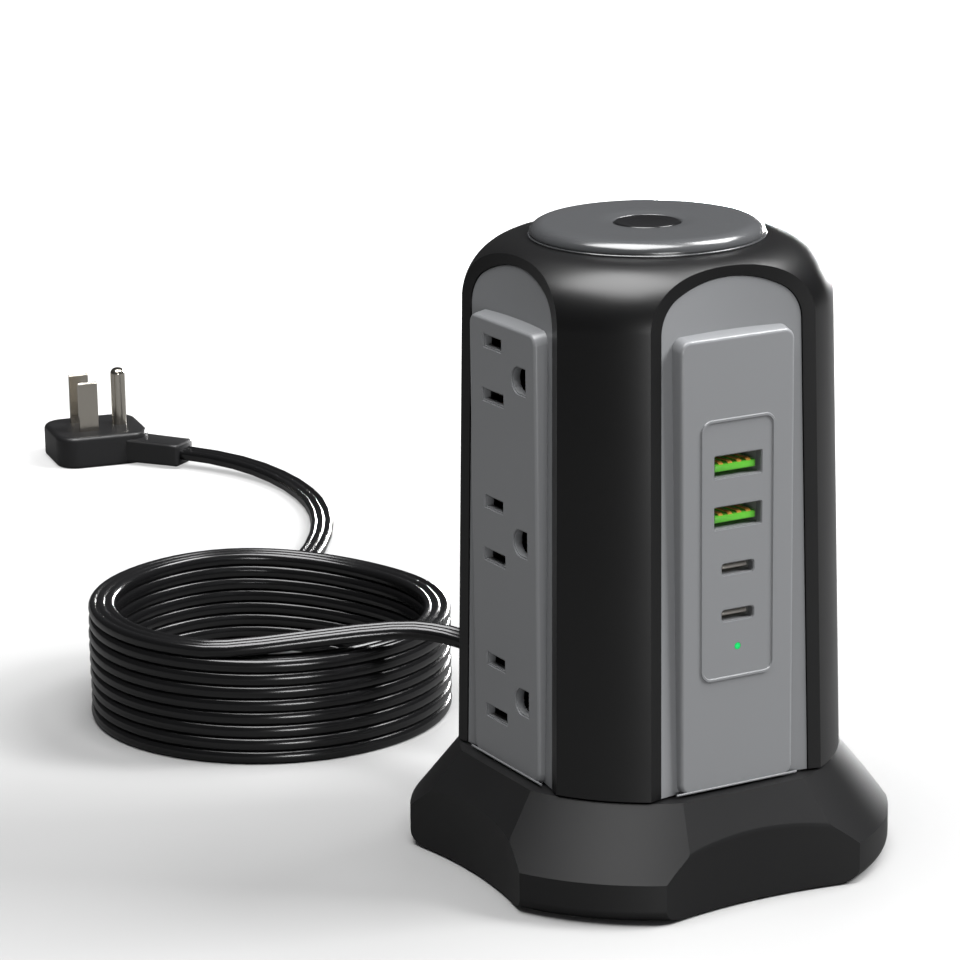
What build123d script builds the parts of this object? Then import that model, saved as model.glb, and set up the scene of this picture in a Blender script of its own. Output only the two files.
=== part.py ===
from build123d import *

import os
from math import atan2, cos, degrees, pi, radians, sin, tan

# Tower power strip: a round tower with four dished faces on a splayed foot. One face carries USB
# sockets, the other three carry three mains outlets each. Millimetres, +Z up, z = 0 is the floor and
# the tower's axis is x = y = 0. The USB face looks along -Y.

# ---------------------------------------------------------------- driving dimensions
FRONT, RIGHT, REAR, LEFT = 0, 90, 180, -90  # turn of each face about Z, in degrees
SIDES = {"left": LEFT, "rear": REAR, "right": RIGHT}  # the three outlet faces
ALL_TURNS = (FRONT, RIGHT, REAR, LEFT)

# tower body
body_bottom, body_top = 25.4, 147.2
mid_height = 100.0
body_radius = 43.4  # at mid height
body_draft = 0.022  # radius lost per millimetre of rise
dome_radius = 14.5
body_wall = 2.4
top_hole_radius = 13.4

# dished faces: each is part of a cylinder that stands outside the tower and leans in a little
face_radius = 110.0
face_depth = 35.1  # axis to the middle of a face, at mid height
face_lean = 0.0157  # depth lost per millimetre of rise
face_wall = 3.6
recess_depth = 1.9
window_half_width, window_bottom, window_top = 13.3, 33.2, 128.4

# grey panels
arch_foot_half, arch_half = 19.8, 18.4  # half width at the foot and where the arch starts
arch_start = 132.0
arch_corner_radius, arch_corner_turn = 9.0, 62.5
arch_crown_radius = arch_corner_radius + (arch_half - arch_corner_radius) / cos(radians(arch_corner_turn))
panel_gap = 0.2
panel_sink = 0.25
panel_wall = 2.2
plateau_face = 38.7  # axis to the raised flat front
plateau_half, plateau_top = 14.95, 130.7
plateau_corner = 2.6
plateau_edge = 0.8
plateau_draft = 9.0
pocket_half, pocket_bottom, pocket_top = 12.7, 27.6, 128.0

# mains outlets
outlet_heights = (119.1, 81.15, 43.2)
blade_gap = 12.7  # between the two blades of one outlet
blade_u = -4.3
ground_u = 7.6
slot_height = 2.6
line_slot, neutral_slot = 7.9, 9.4
ground_radius = 2.95
slot_bevel = 0.35

# USB sockets
usb_a_heights = (101.2, 89.35)
usb_a_width, usb_a_height = 12.4, 5.1
usb_c_heights = (77.2, 66.3)
usb_c_width, usb_c_height = 8.4, 2.6
led_height, led_radius = 58.7, 0.8
bead_half, bead_bottom, bead_top = 9.9, 51.2, 112.3
bead_width, bead_proud, bead_corner = 0.8, 0.3, 2.8
usb_board_front = 25.6
board_thickness = 1.6

# foot
base_radius = 56.8
base_lift = 0.6  # the rubber feet stand this far out
shoulder_height = 9.8
base_top = 24.9
cone_top_radius = 44.7
shoulder_round = 3.0
facet_top = 41.6  # axis to the top edge of a sloping facet
facet_slope = 0.75  # distance gained per millimetre of descent
scoop_radius = 115.7
scoop_depth = 47.4  # axis to the middle of a scooped side
base_wall = 2.4
edge_round = 1.6
foot_pad_radius, foot_pad_place, foot_pad_sink = 6.5, 41.8, 1.4

# top disc and power button
disc_radius, disc_top = 27.4, 150.5
disc_flat = 23.4
dish_radius, dish_depth = 11.6, 0.35
button_radius, button_top = 7.6, 150.2
button_gap = 0.2
button_travel = 2.5
switch_floor = 121.0

# cord: a flat three-core mains lead, its wide side lying level
cord_width, cord_height = 7.0, 3.45
coil_x, coil_y, coil_radius, coil_turns = -32.5, 137.4, 44.2, 9
lead_angle, tail_angle = 250.0, 125.0  # where the cord leaves the top and the bottom turn
exit_height = 29.6
relief_u = 1.0  # where the cord leaves the rear face
relief_root_width, relief_root_height = 11.0, 7.0


# ---------------------------------------------------------------- planes and outlines
def side_plane(turn, distance):
    """Upright plane facing away from the tower: x runs right along the face, y is the height."""
    away = Vector(0, -1, 0).rotate(Axis.Z, turn)
    along = Vector(1, 0, 0).rotate(Axis.Z, turn)
    return Plane(origin=away * distance, x_dir=along, z_dir=away)


def face_axis(turn):
    """Where the dishing cylinder of one face stands."""
    away = Vector(0, -1, 0).rotate(Axis.Z, turn)
    lean = away * -face_lean + Vector(0, 0, 1)
    return Plane(origin=away * (face_depth + face_radius) + Vector(0, 0, mid_height), z_dir=lean)


def radius_at(height):
    return body_radius - body_draft * (height - mid_height)


def tower_profile(inset, bottom):
    """Half section of the tower, drawn inside a sketch on the XZ plane."""
    top = body_top - inset
    foot = (radius_at(bottom) - inset, bottom)
    shoulder = (radius_at(top) - inset, top)
    with BuildLine(Plane.XY) as half:
        wall = Polyline((0, bottom), foot, shoulder)
        crown = Line(wall @ 1, (0, top))
        fillet(half.vertices().sort_by(SortBy.DISTANCE)[-1], dome_radius - inset)
        Line((0, top), (0, bottom))
    make_face(half.edges())


def arch_outline(grow, bottom):
    """Outline of a grey panel, drawn inside a sketch on a side plane."""
    with BuildLine(Plane.XY) as outline:
        foot = (arch_foot_half + grow, bottom)
        spring = (arch_half + grow, arch_start)
        Line(foot, spring)
        corner = JernArc(spring, (0, 1), arch_corner_radius + grow, arch_corner_turn)
        crown_turn = 2 * (90 - arch_corner_turn)
        crown = JernArc(corner @ 1, corner % 1, arch_crown_radius + grow, crown_turn)
        far = JernArc(crown @ 1, crown % 1, arch_corner_radius + grow, arch_corner_turn)
        Polyline(far @ 1, (-foot[0], bottom), foot)
    make_face(outline.edges())


def dish(turn, extra, mode):
    """The dishing cylinder of a face, grown by extra."""
    with Locations(face_axis(turn)):
        Cylinder(face_radius + extra, 300, mode=mode)


# ---------------------------------------------------------------- tower body
with BuildPart() as body_void:
    with BuildSketch(Plane.XZ):
        tower_profile(body_wall, body_bottom - 1)
    revolve(axis=Axis.Z)
    for turn in ALL_TURNS:
        dish(turn, face_wall, Mode.SUBTRACT)

with BuildPart() as panel_recesses:
    for turn in ALL_TURNS:
        with BuildPart(mode=Mode.PRIVATE) as recess:
            with BuildSketch(side_plane(turn, face_depth - 8)):
                arch_outline(panel_gap, body_bottom - 1)
            extrude(amount=16)
            dish(turn, recess_depth, Mode.INTERSECT)
        add(recess.part)

boss_place, boss_radius, boss_foot, boss_top = 39.3, 3.7, 28.0, 46.0
screw_hole_radius = 1.55

with BuildPart() as body_shell:
    with BuildSketch(Plane.XZ):
        tower_profile(0, body_bottom)
    revolve(axis=Axis.Z)
    for turn in ALL_TURNS:
        dish(turn, 0, Mode.SUBTRACT)
    add(body_void.part, mode=Mode.SUBTRACT)
    add(panel_recesses.part, mode=Mode.SUBTRACT)
    for turn in ALL_TURNS:
        with BuildSketch(side_plane(turn, face_depth - 12)):
            with Locations((0, (window_bottom + window_top) / 2)):
                Rectangle(2 * window_half_width, window_top - window_bottom)
        extrude(amount=20, mode=Mode.SUBTRACT)
    with Locations((0, 0, body_top)):
        Cylinder(top_hole_radius, 12, mode=Mode.SUBTRACT)
    # four screw bosses in the round corners
    with PolarLocations(boss_place, 4, start_angle=45):
        with Locations((0, 0, boss_foot)):
            Cylinder(boss_radius, boss_top - boss_foot, align=(Align.CENTER, Align.CENTER, Align.MIN))
    with PolarLocations(boss_place, 4, start_angle=45):
        with Locations((0, 0, body_bottom)):
            Cylinder(screw_hole_radius, 17, align=(Align.CENTER, Align.CENTER, Align.MIN), mode=Mode.SUBTRACT)
    # passage for the cord
    with BuildSketch(side_plane(REAR, face_depth)):
        with Locations((relief_u, exit_height)):
            RectangleRounded(relief_root_width, relief_root_height - 2.4, 1.2)
    extrude(amount=-10, mode=Mode.SUBTRACT)
body_shell.part.label = "body_shell"


# ---------------------------------------------------------------- grey panels
def plateau_outline(turn, behind):
    """Outline of the raised flat front; it widens behind its face."""
    grow = behind * tan(radians(plateau_draft))
    with BuildSketch(side_plane(turn, plateau_face - behind)) as outline:
        with Locations((0, (body_bottom + plateau_top) / 2)):
            Rectangle(2 * (plateau_half + grow), plateau_top - body_bottom + 2 * grow)
        fillet(outline.vertices().group_by(Axis.Z)[-1], plateau_corner)
    return outline.sketch.face()


def panel_blank(turn):
    """A dished arch plate with its raised front and the pocket behind it."""
    with BuildPart() as blank:
        with BuildSketch(side_plane(turn, face_depth - 8)):
            arch_outline(0, body_bottom)
        extrude(amount=16)
        dish(turn, panel_sink, Mode.SUBTRACT)
        loft([plateau_outline(turn, 7), plateau_outline(turn, 0)])
        away = side_plane(turn, 0).z_dir
        rim = blank.faces().sort_by(Axis((0, 0, 0), tuple(away)))[-1].edges()
        fillet(rim.sort_by(Axis.Z)[1:], plateau_edge)
        dish(turn, recess_depth, Mode.INTERSECT)
        with BuildSketch(Plane.XY.offset(body_bottom)):
            Circle(body_radius + 20)
        extrude(amount=body_top - body_bottom, mode=Mode.INTERSECT)
        with BuildSketch(side_plane(turn, plateau_face - panel_wall)):
            with Locations((0, (pocket_bottom + pocket_top) / 2)):
                Rectangle(2 * pocket_half, pocket_top - pocket_bottom)
        extrude(amount=-14, mode=Mode.SUBTRACT)
    return blank


def slot_outline(width, u, height, grow=0.0):
    with Locations((u, height)):
        Rectangle(width + 2 * grow, slot_height + 2 * grow)


def ground_outline(height, grow=0.0):
    """Round towards the blades, flat on the far side."""
    with Locations((ground_u, height)):
        Circle(ground_radius + grow)
    with Locations((ground_u + ground_radius / 2, height)):
        Rectangle(ground_radius + 2 * grow, 2 * (ground_radius + grow))


def outlet_outlines(grow=0.0):
    for height in outlet_heights:
        slot_outline(line_slot, blade_u, height + blade_gap / 2, grow)
        slot_outline(neutral_slot, blade_u, height - blade_gap / 2, grow)
        ground_outline(height, grow)


def outlet_panel(turn):
    with BuildPart() as panel:
        add(panel_blank(turn).part)
        with BuildSketch(side_plane(turn, plateau_face + 1)):
            outlet_outlines()
        extrude(amount=-6, mode=Mode.SUBTRACT)
        with BuildSketch(side_plane(turn, plateau_face)):
            outlet_outlines(slot_bevel)
        extrude(amount=-slot_bevel, mode=Mode.SUBTRACT)
    return panel


outlet_panels = {side: outlet_panel(turn) for side, turn in SIDES.items()}

# the rear panel also has the passage for the cord's strain relief
with BuildPart() as outlet_panel_rear:
    add(outlet_panels["rear"].part)
    with BuildSketch(side_plane(REAR, plateau_face + 1)):
        with Locations((relief_u, exit_height)):
            RectangleRounded(relief_root_width, relief_root_height - 2.4, 1.2)
    extrude(amount=-8, mode=Mode.SUBTRACT)
outlet_panels["rear"] = outlet_panel_rear
for side in SIDES:
    outlet_panels[side].part.label = "outlet_panel_" + side

with BuildPart() as usb_panel:
    add(panel_blank(FRONT).part)
    with BuildSketch(side_plane(FRONT, plateau_face)):
        with Locations((0, (bead_bottom + bead_top) / 2)):
            RectangleRounded(2 * bead_half, bead_top - bead_bottom, bead_corner)
            inner_half = bead_half - bead_width
            inner_height = bead_top - bead_bottom - 2 * bead_width
            RectangleRounded(2 * inner_half, inner_height, bead_corner - bead_width, mode=Mode.SUBTRACT)
    extrude(amount=bead_proud, taper=30)
    with BuildSketch(side_plane(FRONT, plateau_face + 1)):
        for height in usb_a_heights:
            with Locations((0, height)):
                RectangleRounded(usb_a_width, usb_a_height, 0.3)
        for height in usb_c_heights:
            with Locations((0, height)):
                RectangleRounded(usb_c_width, usb_c_height, 0.75)
        with Locations((0, led_height)):
            Circle(led_radius + 0.05)
    extrude(amount=-8, mode=Mode.SUBTRACT)
    for group, heights, corner in (
        ((usb_a_width, usb_a_height), usb_a_heights, 0.5),
        ((usb_c_width, usb_c_height), usb_c_heights, 0.95),
    ):
        with BuildSketch(side_plane(FRONT, plateau_face)):
            for height in heights:
                with Locations((0, height)):
                    RectangleRounded(group[0] + 0.5, group[1] + 0.5, corner)
        extrude(amount=-0.25, mode=Mode.SUBTRACT)
usb_panel.part.label = "usb_panel"


# ---------------------------------------------------------------- foot
def base_form(inset, bottom, top):
    """The splayed foot with its facets and scooped sides, its walls moved in by inset."""
    slope_inset = inset * 1.25
    corner = base_radius - inset
    with BuildPart() as form:
        with BuildSketch(Plane.XZ) as half:
            crown = (cone_top_radius - slope_inset, base_top)
            shoulder = (corner, shoulder_height)
            with BuildLine(Plane.XY):
                Polyline((0, bottom), (corner, bottom), shoulder, crown, (0, base_top), close=True)
            make_face()
            if inset == 0:
                fillet(half.vertices().sort_by_distance((corner, 0, shoulder_height))[0], shoulder_round)
        revolve(axis=Axis.Z)
        for turn in ALL_TURNS:
            away = Vector(0, -1, 0).rotate(Axis.Z, turn)
            along = Vector(1, 0, 0).rotate(Axis.Z, turn)
            edge = away * (facet_top - slope_inset) + Vector(0, 0, base_top)
            with BuildSketch(Plane(origin=edge, x_dir=along, z_dir=away + Vector(0, 0, facet_slope))):
                Rectangle(160, 120)
            extrude(amount=60, mode=Mode.SUBTRACT)
            with Locations(away * (scoop_depth - inset + scoop_radius)):
                Cylinder(scoop_radius, 200, mode=Mode.SUBTRACT)
        if top < base_top:
            with Locations((0, 0, top)):
                Cylinder(base_radius + 20, 50, align=(Align.CENTER, Align.CENTER, Align.MIN), mode=Mode.SUBTRACT)
    return form


deck_thickness = 2.4
wire_hole = 6.0
locator_radius = 2.9
cover_top, cover_boss_top, cover_boss_radius = 2.6, 4.6, 5.0
frame_half, frame_wall = 17.0, 1.8
frame_foot_place, frame_foot_radius, frame_foot_height = 12.6, 3.2, 3.0
frame_screw_radius = 1.25

with BuildPart() as base_housing:
    add(base_form(0, base_lift, base_top).part)
    scooped = base_housing.edges().filter_by(
        lambda e: 14.0 < e.center().Z < 18.5 and e.length > 20 and abs(e.tangent_at(0.5).Z) < 0.3
    )
    fillet(scooped, edge_round)
    add(base_form(base_wall, base_lift - 1, base_top - deck_thickness).part, mode=Mode.SUBTRACT)
    # bosses for the long screws; their narrow tops meet the body's bosses and carry the tower
    with PolarLocations(boss_place, 4, start_angle=45):
        with Locations((0, 0, cover_boss_top)):
            Cylinder(boss_radius, base_top - 1 - cover_boss_top, align=(Align.CENTER, Align.CENTER, Align.MIN))
            Cylinder(locator_radius, boss_foot - cover_boss_top, align=(Align.CENTER, Align.CENTER, Align.MIN))
    with PolarLocations(boss_place, 4, start_angle=45):
        Cylinder(screw_hole_radius + 0.15, 80, mode=Mode.SUBTRACT)
    with GridLocations(2 * frame_foot_place, 2 * frame_foot_place, 2, 2):
        Cylinder(frame_screw_radius + 0.15, 80, mode=Mode.SUBTRACT)
    Cylinder(wire_hole, 80, mode=Mode.SUBTRACT)
base_housing.part.label = "base_housing"

reset_u, reset_v = 0.0, -22.0  # the breaker's reset button, under the foot
reset_radius, reset_collar_radius, reset_travel = 3.0, 4.0, 2.0
screw_head_radius, screw_head_top, screw_head_height = 3.0, 3.5, 1.5
screw_shank_radius, screw_tip = 1.5, 41.0

with BuildPart() as base_cover:
    add(base_form(base_wall + 0.25, base_lift, cover_top).part)
    with PolarLocations(boss_place, 4, start_angle=45):
        with Locations((0, 0, base_lift)):
            Cylinder(cover_boss_radius, cover_boss_top - base_lift, align=(Align.CENTER, Align.CENTER, Align.MIN))
    with PolarLocations(foot_pad_place, 4, start_angle=45):
        Cylinder(foot_pad_radius + 0.1, 2 * (base_lift + foot_pad_sink), mode=Mode.SUBTRACT)
    with PolarLocations(boss_place, 4, start_angle=45):
        with Locations((0, 0, 0)):
            Cylinder(1.7, 40, mode=Mode.SUBTRACT)
            Cylinder(screw_head_radius + 0.2, 2 * screw_head_top, mode=Mode.SUBTRACT)
    with Locations((reset_u, reset_v, 0)):
        Cylinder(reset_radius + 0.3, 20, mode=Mode.SUBTRACT)
base_cover.part.label = "base_cover"

with BuildPart() as rubber_feet:
    with PolarLocations(foot_pad_place, 4, start_angle=45):
        Cylinder(foot_pad_radius, base_lift + foot_pad_sink, align=(Align.CENTER, Align.CENTER, Align.MIN))
    fillet(rubber_feet.edges().group_by(Axis.Z)[0], 0.4)
rubber_feet.part.label = "rubber_feet"

with BuildPart() as base_screws:
    with PolarLocations(boss_place, 4, start_angle=45):
        with Locations((0, 0, screw_head_top - screw_head_height)):
            Cylinder(screw_head_radius, screw_head_height, align=(Align.CENTER, Align.CENTER, Align.MIN))
        with Locations((0, 0, screw_head_top)):
            Cylinder(screw_shank_radius, screw_tip - screw_head_top, align=(Align.CENTER, Align.CENTER, Align.MIN))
base_screws.part.label = "base_screws"

# ---------------------------------------------------------------- top disc and power button
lip_height, groove_top = 0.45, 0.3
disc_under = body_top + 0.9
guide_inner, guide_outer, guide_bottom = 11.0, 13.2, 141.5

with BuildPart() as top_disc:
    with BuildSketch(Plane.XZ):
        with BuildLine():
            hole = button_radius + button_gap
            dish_floor = disc_top - dish_depth
            start = Line((guide_inner, guide_bottom), (guide_outer, guide_bottom))
            spigot = Polyline(start @ 1, (guide_outer, body_top), (disc_radius, body_top))
            lip = Line(spigot @ 1, (disc_radius, body_top + lip_height))
            groove = Polyline(
                lip @ 1,
                (disc_radius - 0.5, body_top + lip_height),
                (disc_radius - 0.5, body_top + lip_height + groove_top),
                (disc_radius - 0.2, body_top + lip_height + groove_top),
            )
            rim = EllipticalCenterArc(
                (disc_flat, body_top + lip_height + groove_top),
                (groove @ 1).X - disc_flat,
                disc_top - body_top - lip_height - groove_top,
                0,
                arc_size=90,
            )
            flat = Line(rim @ 1, (dish_radius, disc_top))
            bowl = Line(flat @ 1, (hole + 0.5, dish_floor))
            chamfered = Line(bowl @ 1, (hole, dish_floor - 0.5))
            Polyline(chamfered @ 1, (hole, disc_under), (guide_inner, disc_under), start @ 0)
        make_face()
    revolve(axis=Axis.Z)
top_disc.part.label = "top_disc"

cap_thickness, flange_radius, flange_thickness = 3.2, 9.0, 1.0
flange_top = disc_under - 0.15
stem_radius = 3.0
plunger_top = switch_floor + 22.0

with BuildPart() as power_button:
    with BuildSketch(Plane.XZ):
        with BuildLine():
            sag = 0.35
            rise = ThreePointArc((0, button_top - sag), (button_radius / 2, button_top - sag * 0.75), (button_radius - 0.6, button_top))
            Polyline(
                rise @ 1,
                (button_radius - 0.25, button_top - 0.05),
                (button_radius, button_top - 0.4),
                (button_radius, flange_top),
                (flange_radius, flange_top),
                (flange_radius, flange_top - flange_thickness),
                (button_radius - 1.2, flange_top - flange_thickness),
                (button_radius - 1.2, button_top - cap_thickness),
                (stem_radius, button_top - cap_thickness),
                (stem_radius, plunger_top),
                (0, plunger_top),
                rise @ 0,
            )
        make_face()
    revolve(axis=Axis.Z)
power_button.part.label = "power_button"

switch_size, switch_height = 15.0, 17.0
plunger_size, plunger_hole = 5.0, 5.4
switch_top = switch_floor + switch_height

with BuildPart() as switch_body:
    with Locations((0, 0, switch_floor)):
        Box(switch_size, switch_size, switch_height, align=(Align.CENTER, Align.CENTER, Align.MIN))
    fillet(switch_body.edges().filter_by(Axis.Z), 1.0)
    with Locations((0, 0, switch_top)):
        Box(plunger_hole, plunger_hole, 20, mode=Mode.SUBTRACT)
    # four solder tags under the body
    with BuildSketch(Plane.XY.offset(switch_floor)):
        with GridLocations(8, 5, 2, 2):
            Rectangle(2.4, 0.8)
    extrude(amount=-5)
switch_body.part.label = "switch_body"

with BuildPart() as switch_plunger:
    with Locations((0, 0, plunger_top)):
        Box(plunger_size, plunger_size, plunger_top - switch_top + 5, align=(Align.CENTER, Align.CENTER, Align.MAX))
    fillet(switch_plunger.edges().filter_by(Axis.Z), 0.5)
switch_plunger.part.label = "switch_plunger"

spring_radius, spring_wire, spring_turns = 5.4, 0.45, 5
spring_bottom, spring_top = switch_top + spring_wire, button_top - cap_thickness - spring_wire

with BuildPart() as button_spring:
    with BuildLine():
        length = spring_top - spring_bottom
        coils = Helix(length / spring_turns, length, spring_radius, center=(0, 0, spring_bottom))
    with BuildSketch(Plane(origin=coils @ 0, z_dir=coils % 0)):
        Circle(spring_wire)
    sweep()
button_spring.part.label = "button_spring"

# ---------------------------------------------------------------- inner frame and boards
tray_depth = frame_half  # the trays stand against the frame

with BuildPart() as inner_frame:
    with BuildSketch(Plane.XY.offset(base_top)):
        Rectangle(2 * frame_half, 2 * frame_half)
        Rectangle(2 * (frame_half - frame_wall), 2 * (frame_half - frame_wall), mode=Mode.SUBTRACT)
    extrude(amount=switch_floor - base_top)
    with Locations((0, 0, switch_floor)):
        Box(2 * frame_half, 2 * frame_half, frame_wall, align=(Align.CENTER, Align.CENTER, Align.MAX))
    with BuildSketch(Plane.XY.offset(switch_floor)):
        with GridLocations(8, 5, 2, 2):
            Rectangle(3.0, 1.4)
    extrude(amount=-10, mode=Mode.SUBTRACT)
    # wire windows low in each wall
    for turn in ALL_TURNS:
        with BuildSketch(side_plane(turn, frame_half + 5)):
            with Locations((0, base_top + 4.5)):
                Rectangle(14, 9)
        extrude(amount=-12, mode=Mode.SUBTRACT)
    # screw feet inside the corners
    with GridLocations(2 * frame_foot_place, 2 * frame_foot_place, 2, 2):
        with Locations((0, 0, base_top)):
            Cylinder(frame_foot_radius, frame_foot_height, align=(Align.CENTER, Align.CENTER, Align.MIN))
            Cylinder(frame_screw_radius + 0.05, 20, mode=Mode.SUBTRACT)
inner_frame.part.label = "inner_frame"

with BuildPart() as frame_screws:
    with GridLocations(2 * frame_foot_place, 2 * frame_foot_place, 2, 2):
        with Locations((0, 0, base_top - deck_thickness)):
            Cylinder(2.4, 1.4, align=(Align.CENTER, Align.CENTER, Align.MAX))
            Cylinder(frame_screw_radius, 5.4, align=(Align.CENTER, Align.CENTER, Align.MIN))
frame_screws.part.label = "frame_screws"

board_y, board_width, board_bottom, board_top = 11.0, 27.0, 32.0, 112.0

with BuildPart() as surge_board:
    with BuildSketch(Plane.XZ.offset(-board_y)):
        with Locations((0, (board_bottom + board_top) / 2)):
            Rectangle(board_width, board_top - board_bottom)
    extrude(amount=-board_thickness)
    # spacers to the rear wall of the frame
    with BuildSketch(Plane.XZ.offset(-board_y)):
        with Locations((0, (board_bottom + board_top) / 2)):
            with GridLocations(board_width - 6, board_top - board_bottom - 6, 2, 2):
                Circle(2.2)
    extrude(amount=-(frame_half - frame_wall - board_y))
surge_board.part.label = "surge_board"

with BuildPart() as transformer_winding:
    with Locations((0, board_y - 7.3, 92)):
        Box(13.0, 14.6, 15.0)
    fillet(transformer_winding.edges().filter_by(Axis.Z), 1.5)
transformer_winding.part.label = "transformer_winding"

with BuildPart() as transformer_core:
    for x in (-9.0, 9.0):
        with Locations((x, board_y - 7.5, 92)):
            Box(5.0, 11.0, 20.0)
    for z in (80.7, 103.3):
        with Locations((0, board_y - 7.5, z)):
            Box(23.0, 11.0, 4.6)
transformer_core.part.label = "transformer_core"

with BuildPart() as capacitors:
    with BuildSketch(Plane.XZ.offset(-board_y)):
        with Locations((0, 65.0)):
            with GridLocations(13.0, 12.0, 2, 2):
                Circle(5.2)
    extrude(amount=15)
capacitors.part.label = "capacitors"

with BuildPart() as varistors:
    for x in (-8.5, 0.0, 8.5):
        with BuildSketch(Plane.YZ.offset(x - 2.1)):
            with Locations((board_y - 7.2, 43.0)):
                Circle(6.6)
        extrude(amount=4.2)
        with BuildSketch(Plane.XZ.offset(-board_y)):
            with Locations((x, 40.0), (x, 46.0)):
                Circle(0.5)
        extrude(amount=2.5)
varistors.part.label = "varistors"

# ---------------------------------------------------------------- USB board and sockets
with BuildPart() as usb_board:
    with BuildSketch(side_plane(FRONT, usb_board_front)):
        with Locations((0, 82.0)):
            Rectangle(22.0, 62.0)
    extrude(amount=-board_thickness)
    # two spacers carry the board on the inner frame
    with BuildSketch(side_plane(FRONT, usb_board_front - board_thickness)):
        with Locations((0, 54.5), (0, 109.5)):
            Circle(2.4)
    extrude(amount=-(usb_board_front - board_thickness - frame_half))
usb_board.part.label = "usb_board"

socket_front = plateau_face - panel_wall
shell_wall = 0.35
tongue_front = plateau_face - 1.2
usb_a_tongue_width, usb_a_tongue_height, usb_a_tongue_drop = 11.0, 1.8, 0.62
usb_c_tongue_width, usb_c_tongue_height = 6.7, 0.7


def socket_shells(width, height, heights, corner):
    with BuildPart() as shells:
        for z in heights:
            with BuildSketch(side_plane(FRONT, usb_board_front)) as ring:
                with Locations((0, z)):
                    outer = RectangleRounded(width + 2 * shell_wall, height + 2 * shell_wall, corner + shell_wall)
                    RectangleRounded(width, height, corner, mode=Mode.SUBTRACT)
            extrude(ring.sketch, amount=socket_front - usb_board_front)
    return shells


def socket_tongues(width, height, heights, drop):
    with BuildPart() as tongues:
        for z in heights:
            with BuildSketch(side_plane(FRONT, usb_board_front)) as root:
                with Locations((0, z - drop)):
                    RectangleRounded(width, height, 0.3)
            extrude(root.sketch, amount=tongue_front - usb_board_front)
    return tongues


usb_a_shells = socket_shells(usb_a_width, usb_a_height, usb_a_heights, 0.3)
usb_a_shells.part.label = "usb_a_shells"
usb_a_tongues = socket_tongues(usb_a_tongue_width, usb_a_tongue_height, usb_a_heights, usb_a_tongue_drop)
usb_a_tongues.part.label = "usb_a_tongues"
usb_c_shells = socket_shells(usb_c_width, usb_c_height, usb_c_heights, 0.75)
usb_c_shells.part.label = "usb_c_shells"
usb_c_tongues = socket_tongues(usb_c_tongue_width, usb_c_tongue_height, usb_c_heights, 0)
usb_c_tongues.part.label = "usb_c_tongues"

contact_thickness, contact_width, contact_pitch = 0.15, 1.1, 2.4

with BuildPart() as usb_a_contacts:
    for z in usb_a_heights:
        tongue_top = z - usb_a_tongue_drop + usb_a_tongue_height / 2
        with BuildSketch(side_plane(FRONT, usb_board_front + 1.5)):
            with Locations((0, tongue_top + contact_thickness / 2)):
                with GridLocations(contact_pitch, 1, 4, 1):
                    Rectangle(contact_width, contact_thickness)
        extrude(amount=tongue_front - usb_board_front - 2.1)
usb_a_contacts.part.label = "usb_a_contacts"

with BuildPart() as status_led:
    with BuildSketch(side_plane(FRONT, usb_board_front)):
        with Locations((0, led_height)):
            Circle(1.5)
    extrude(amount=3)
    with BuildSketch(side_plane(FRONT, usb_board_front + 3)):
        with Locations((0, led_height)):
            Circle(led_radius)
    extrude(amount=plateau_face - usb_board_front - 3)
status_led.part.label = "status_led"


# ---------------------------------------------------------------- outlet contacts
tray_half, tray_wall, tray_back = 12.4, 0.9, 1.4
tray_bottom, tray_top = 34.2, 127.8
backbone_depth, backbone_thickness = 8.0, 0.8
leaf_back, leaf_front, leaf_thickness, leaf_gap = 20.0, 34.5, 0.6, 1.4


def contact_tray(turn):
    """Insulating tray behind an outlet panel: a back, four sides and a barrier between outlets."""
    with BuildPart() as tray:
        with BuildSketch(side_plane(turn, tray_depth)) as outer:
            with Locations((0, (tray_bottom + tray_top) / 2)):
                Rectangle(2 * tray_half, tray_top - tray_bottom)
        extrude(outer.sketch, amount=socket_front - tray_depth)
        with BuildSketch(side_plane(turn, tray_depth + tray_back)) as hollow:
            with Locations((0, (tray_bottom + tray_top) / 2)):
                Rectangle(2 * (tray_half - tray_wall), tray_top - tray_bottom - 2 * tray_wall)
        extrude(hollow.sketch, amount=40, mode=Mode.SUBTRACT)
        with BuildSketch(side_plane(turn, 28.0)) as barriers:
            for upper, lower in zip(outlet_heights, outlet_heights[1:]):
                with Locations((0, (upper + lower) / 2)):
                    Rectangle(2 * tray_half - 1, tray_wall)
        extrude(barriers.sketch, amount=socket_front - 28.0)
    return tray


def contact_rail(turn, spine_u, reach_u, offset, half_gap):
    """A strip that runs past all three outlets, with a pair of spring leaves at each one.
    The strip stands at spine_u, the leaves reach across to reach_u, offset above each outlet."""
    top, bottom = outlet_heights[0], outlet_heights[-1]
    with BuildPart() as rail:
        with BuildSketch(side_plane(turn, tray_depth + tray_back)) as spine:
            with Locations((spine_u, (top + bottom) / 2 + offset)):
                Rectangle(backbone_thickness, top - bottom + 2 * (half_gap + leaf_thickness))
        extrude(spine.sketch, amount=backbone_depth)
        with BuildSketch(side_plane(turn, leaf_back)) as leaves:
            for height in outlet_heights:
                for side in (-1, 1):
                    middle = height + offset + side * (half_gap + leaf_thickness / 2)
                    with Locations(((spine_u + reach_u) / 2, middle)):
                        Rectangle(abs(reach_u - spine_u), leaf_thickness)
        extrude(leaves.sketch, amount=leaf_front - leaf_back)
    return rail


RAILS = {  # spine position, where the leaves end, offset from the outlet's middle, half the gap
    "line": (-9.9, -0.6, blade_gap / 2, leaf_gap / 2),
    "neutral": (1.3, -8.8, -blade_gap / 2, leaf_gap / 2),
    "ground": (10.6, 5.0, 0.0, 2.35),
}

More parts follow.
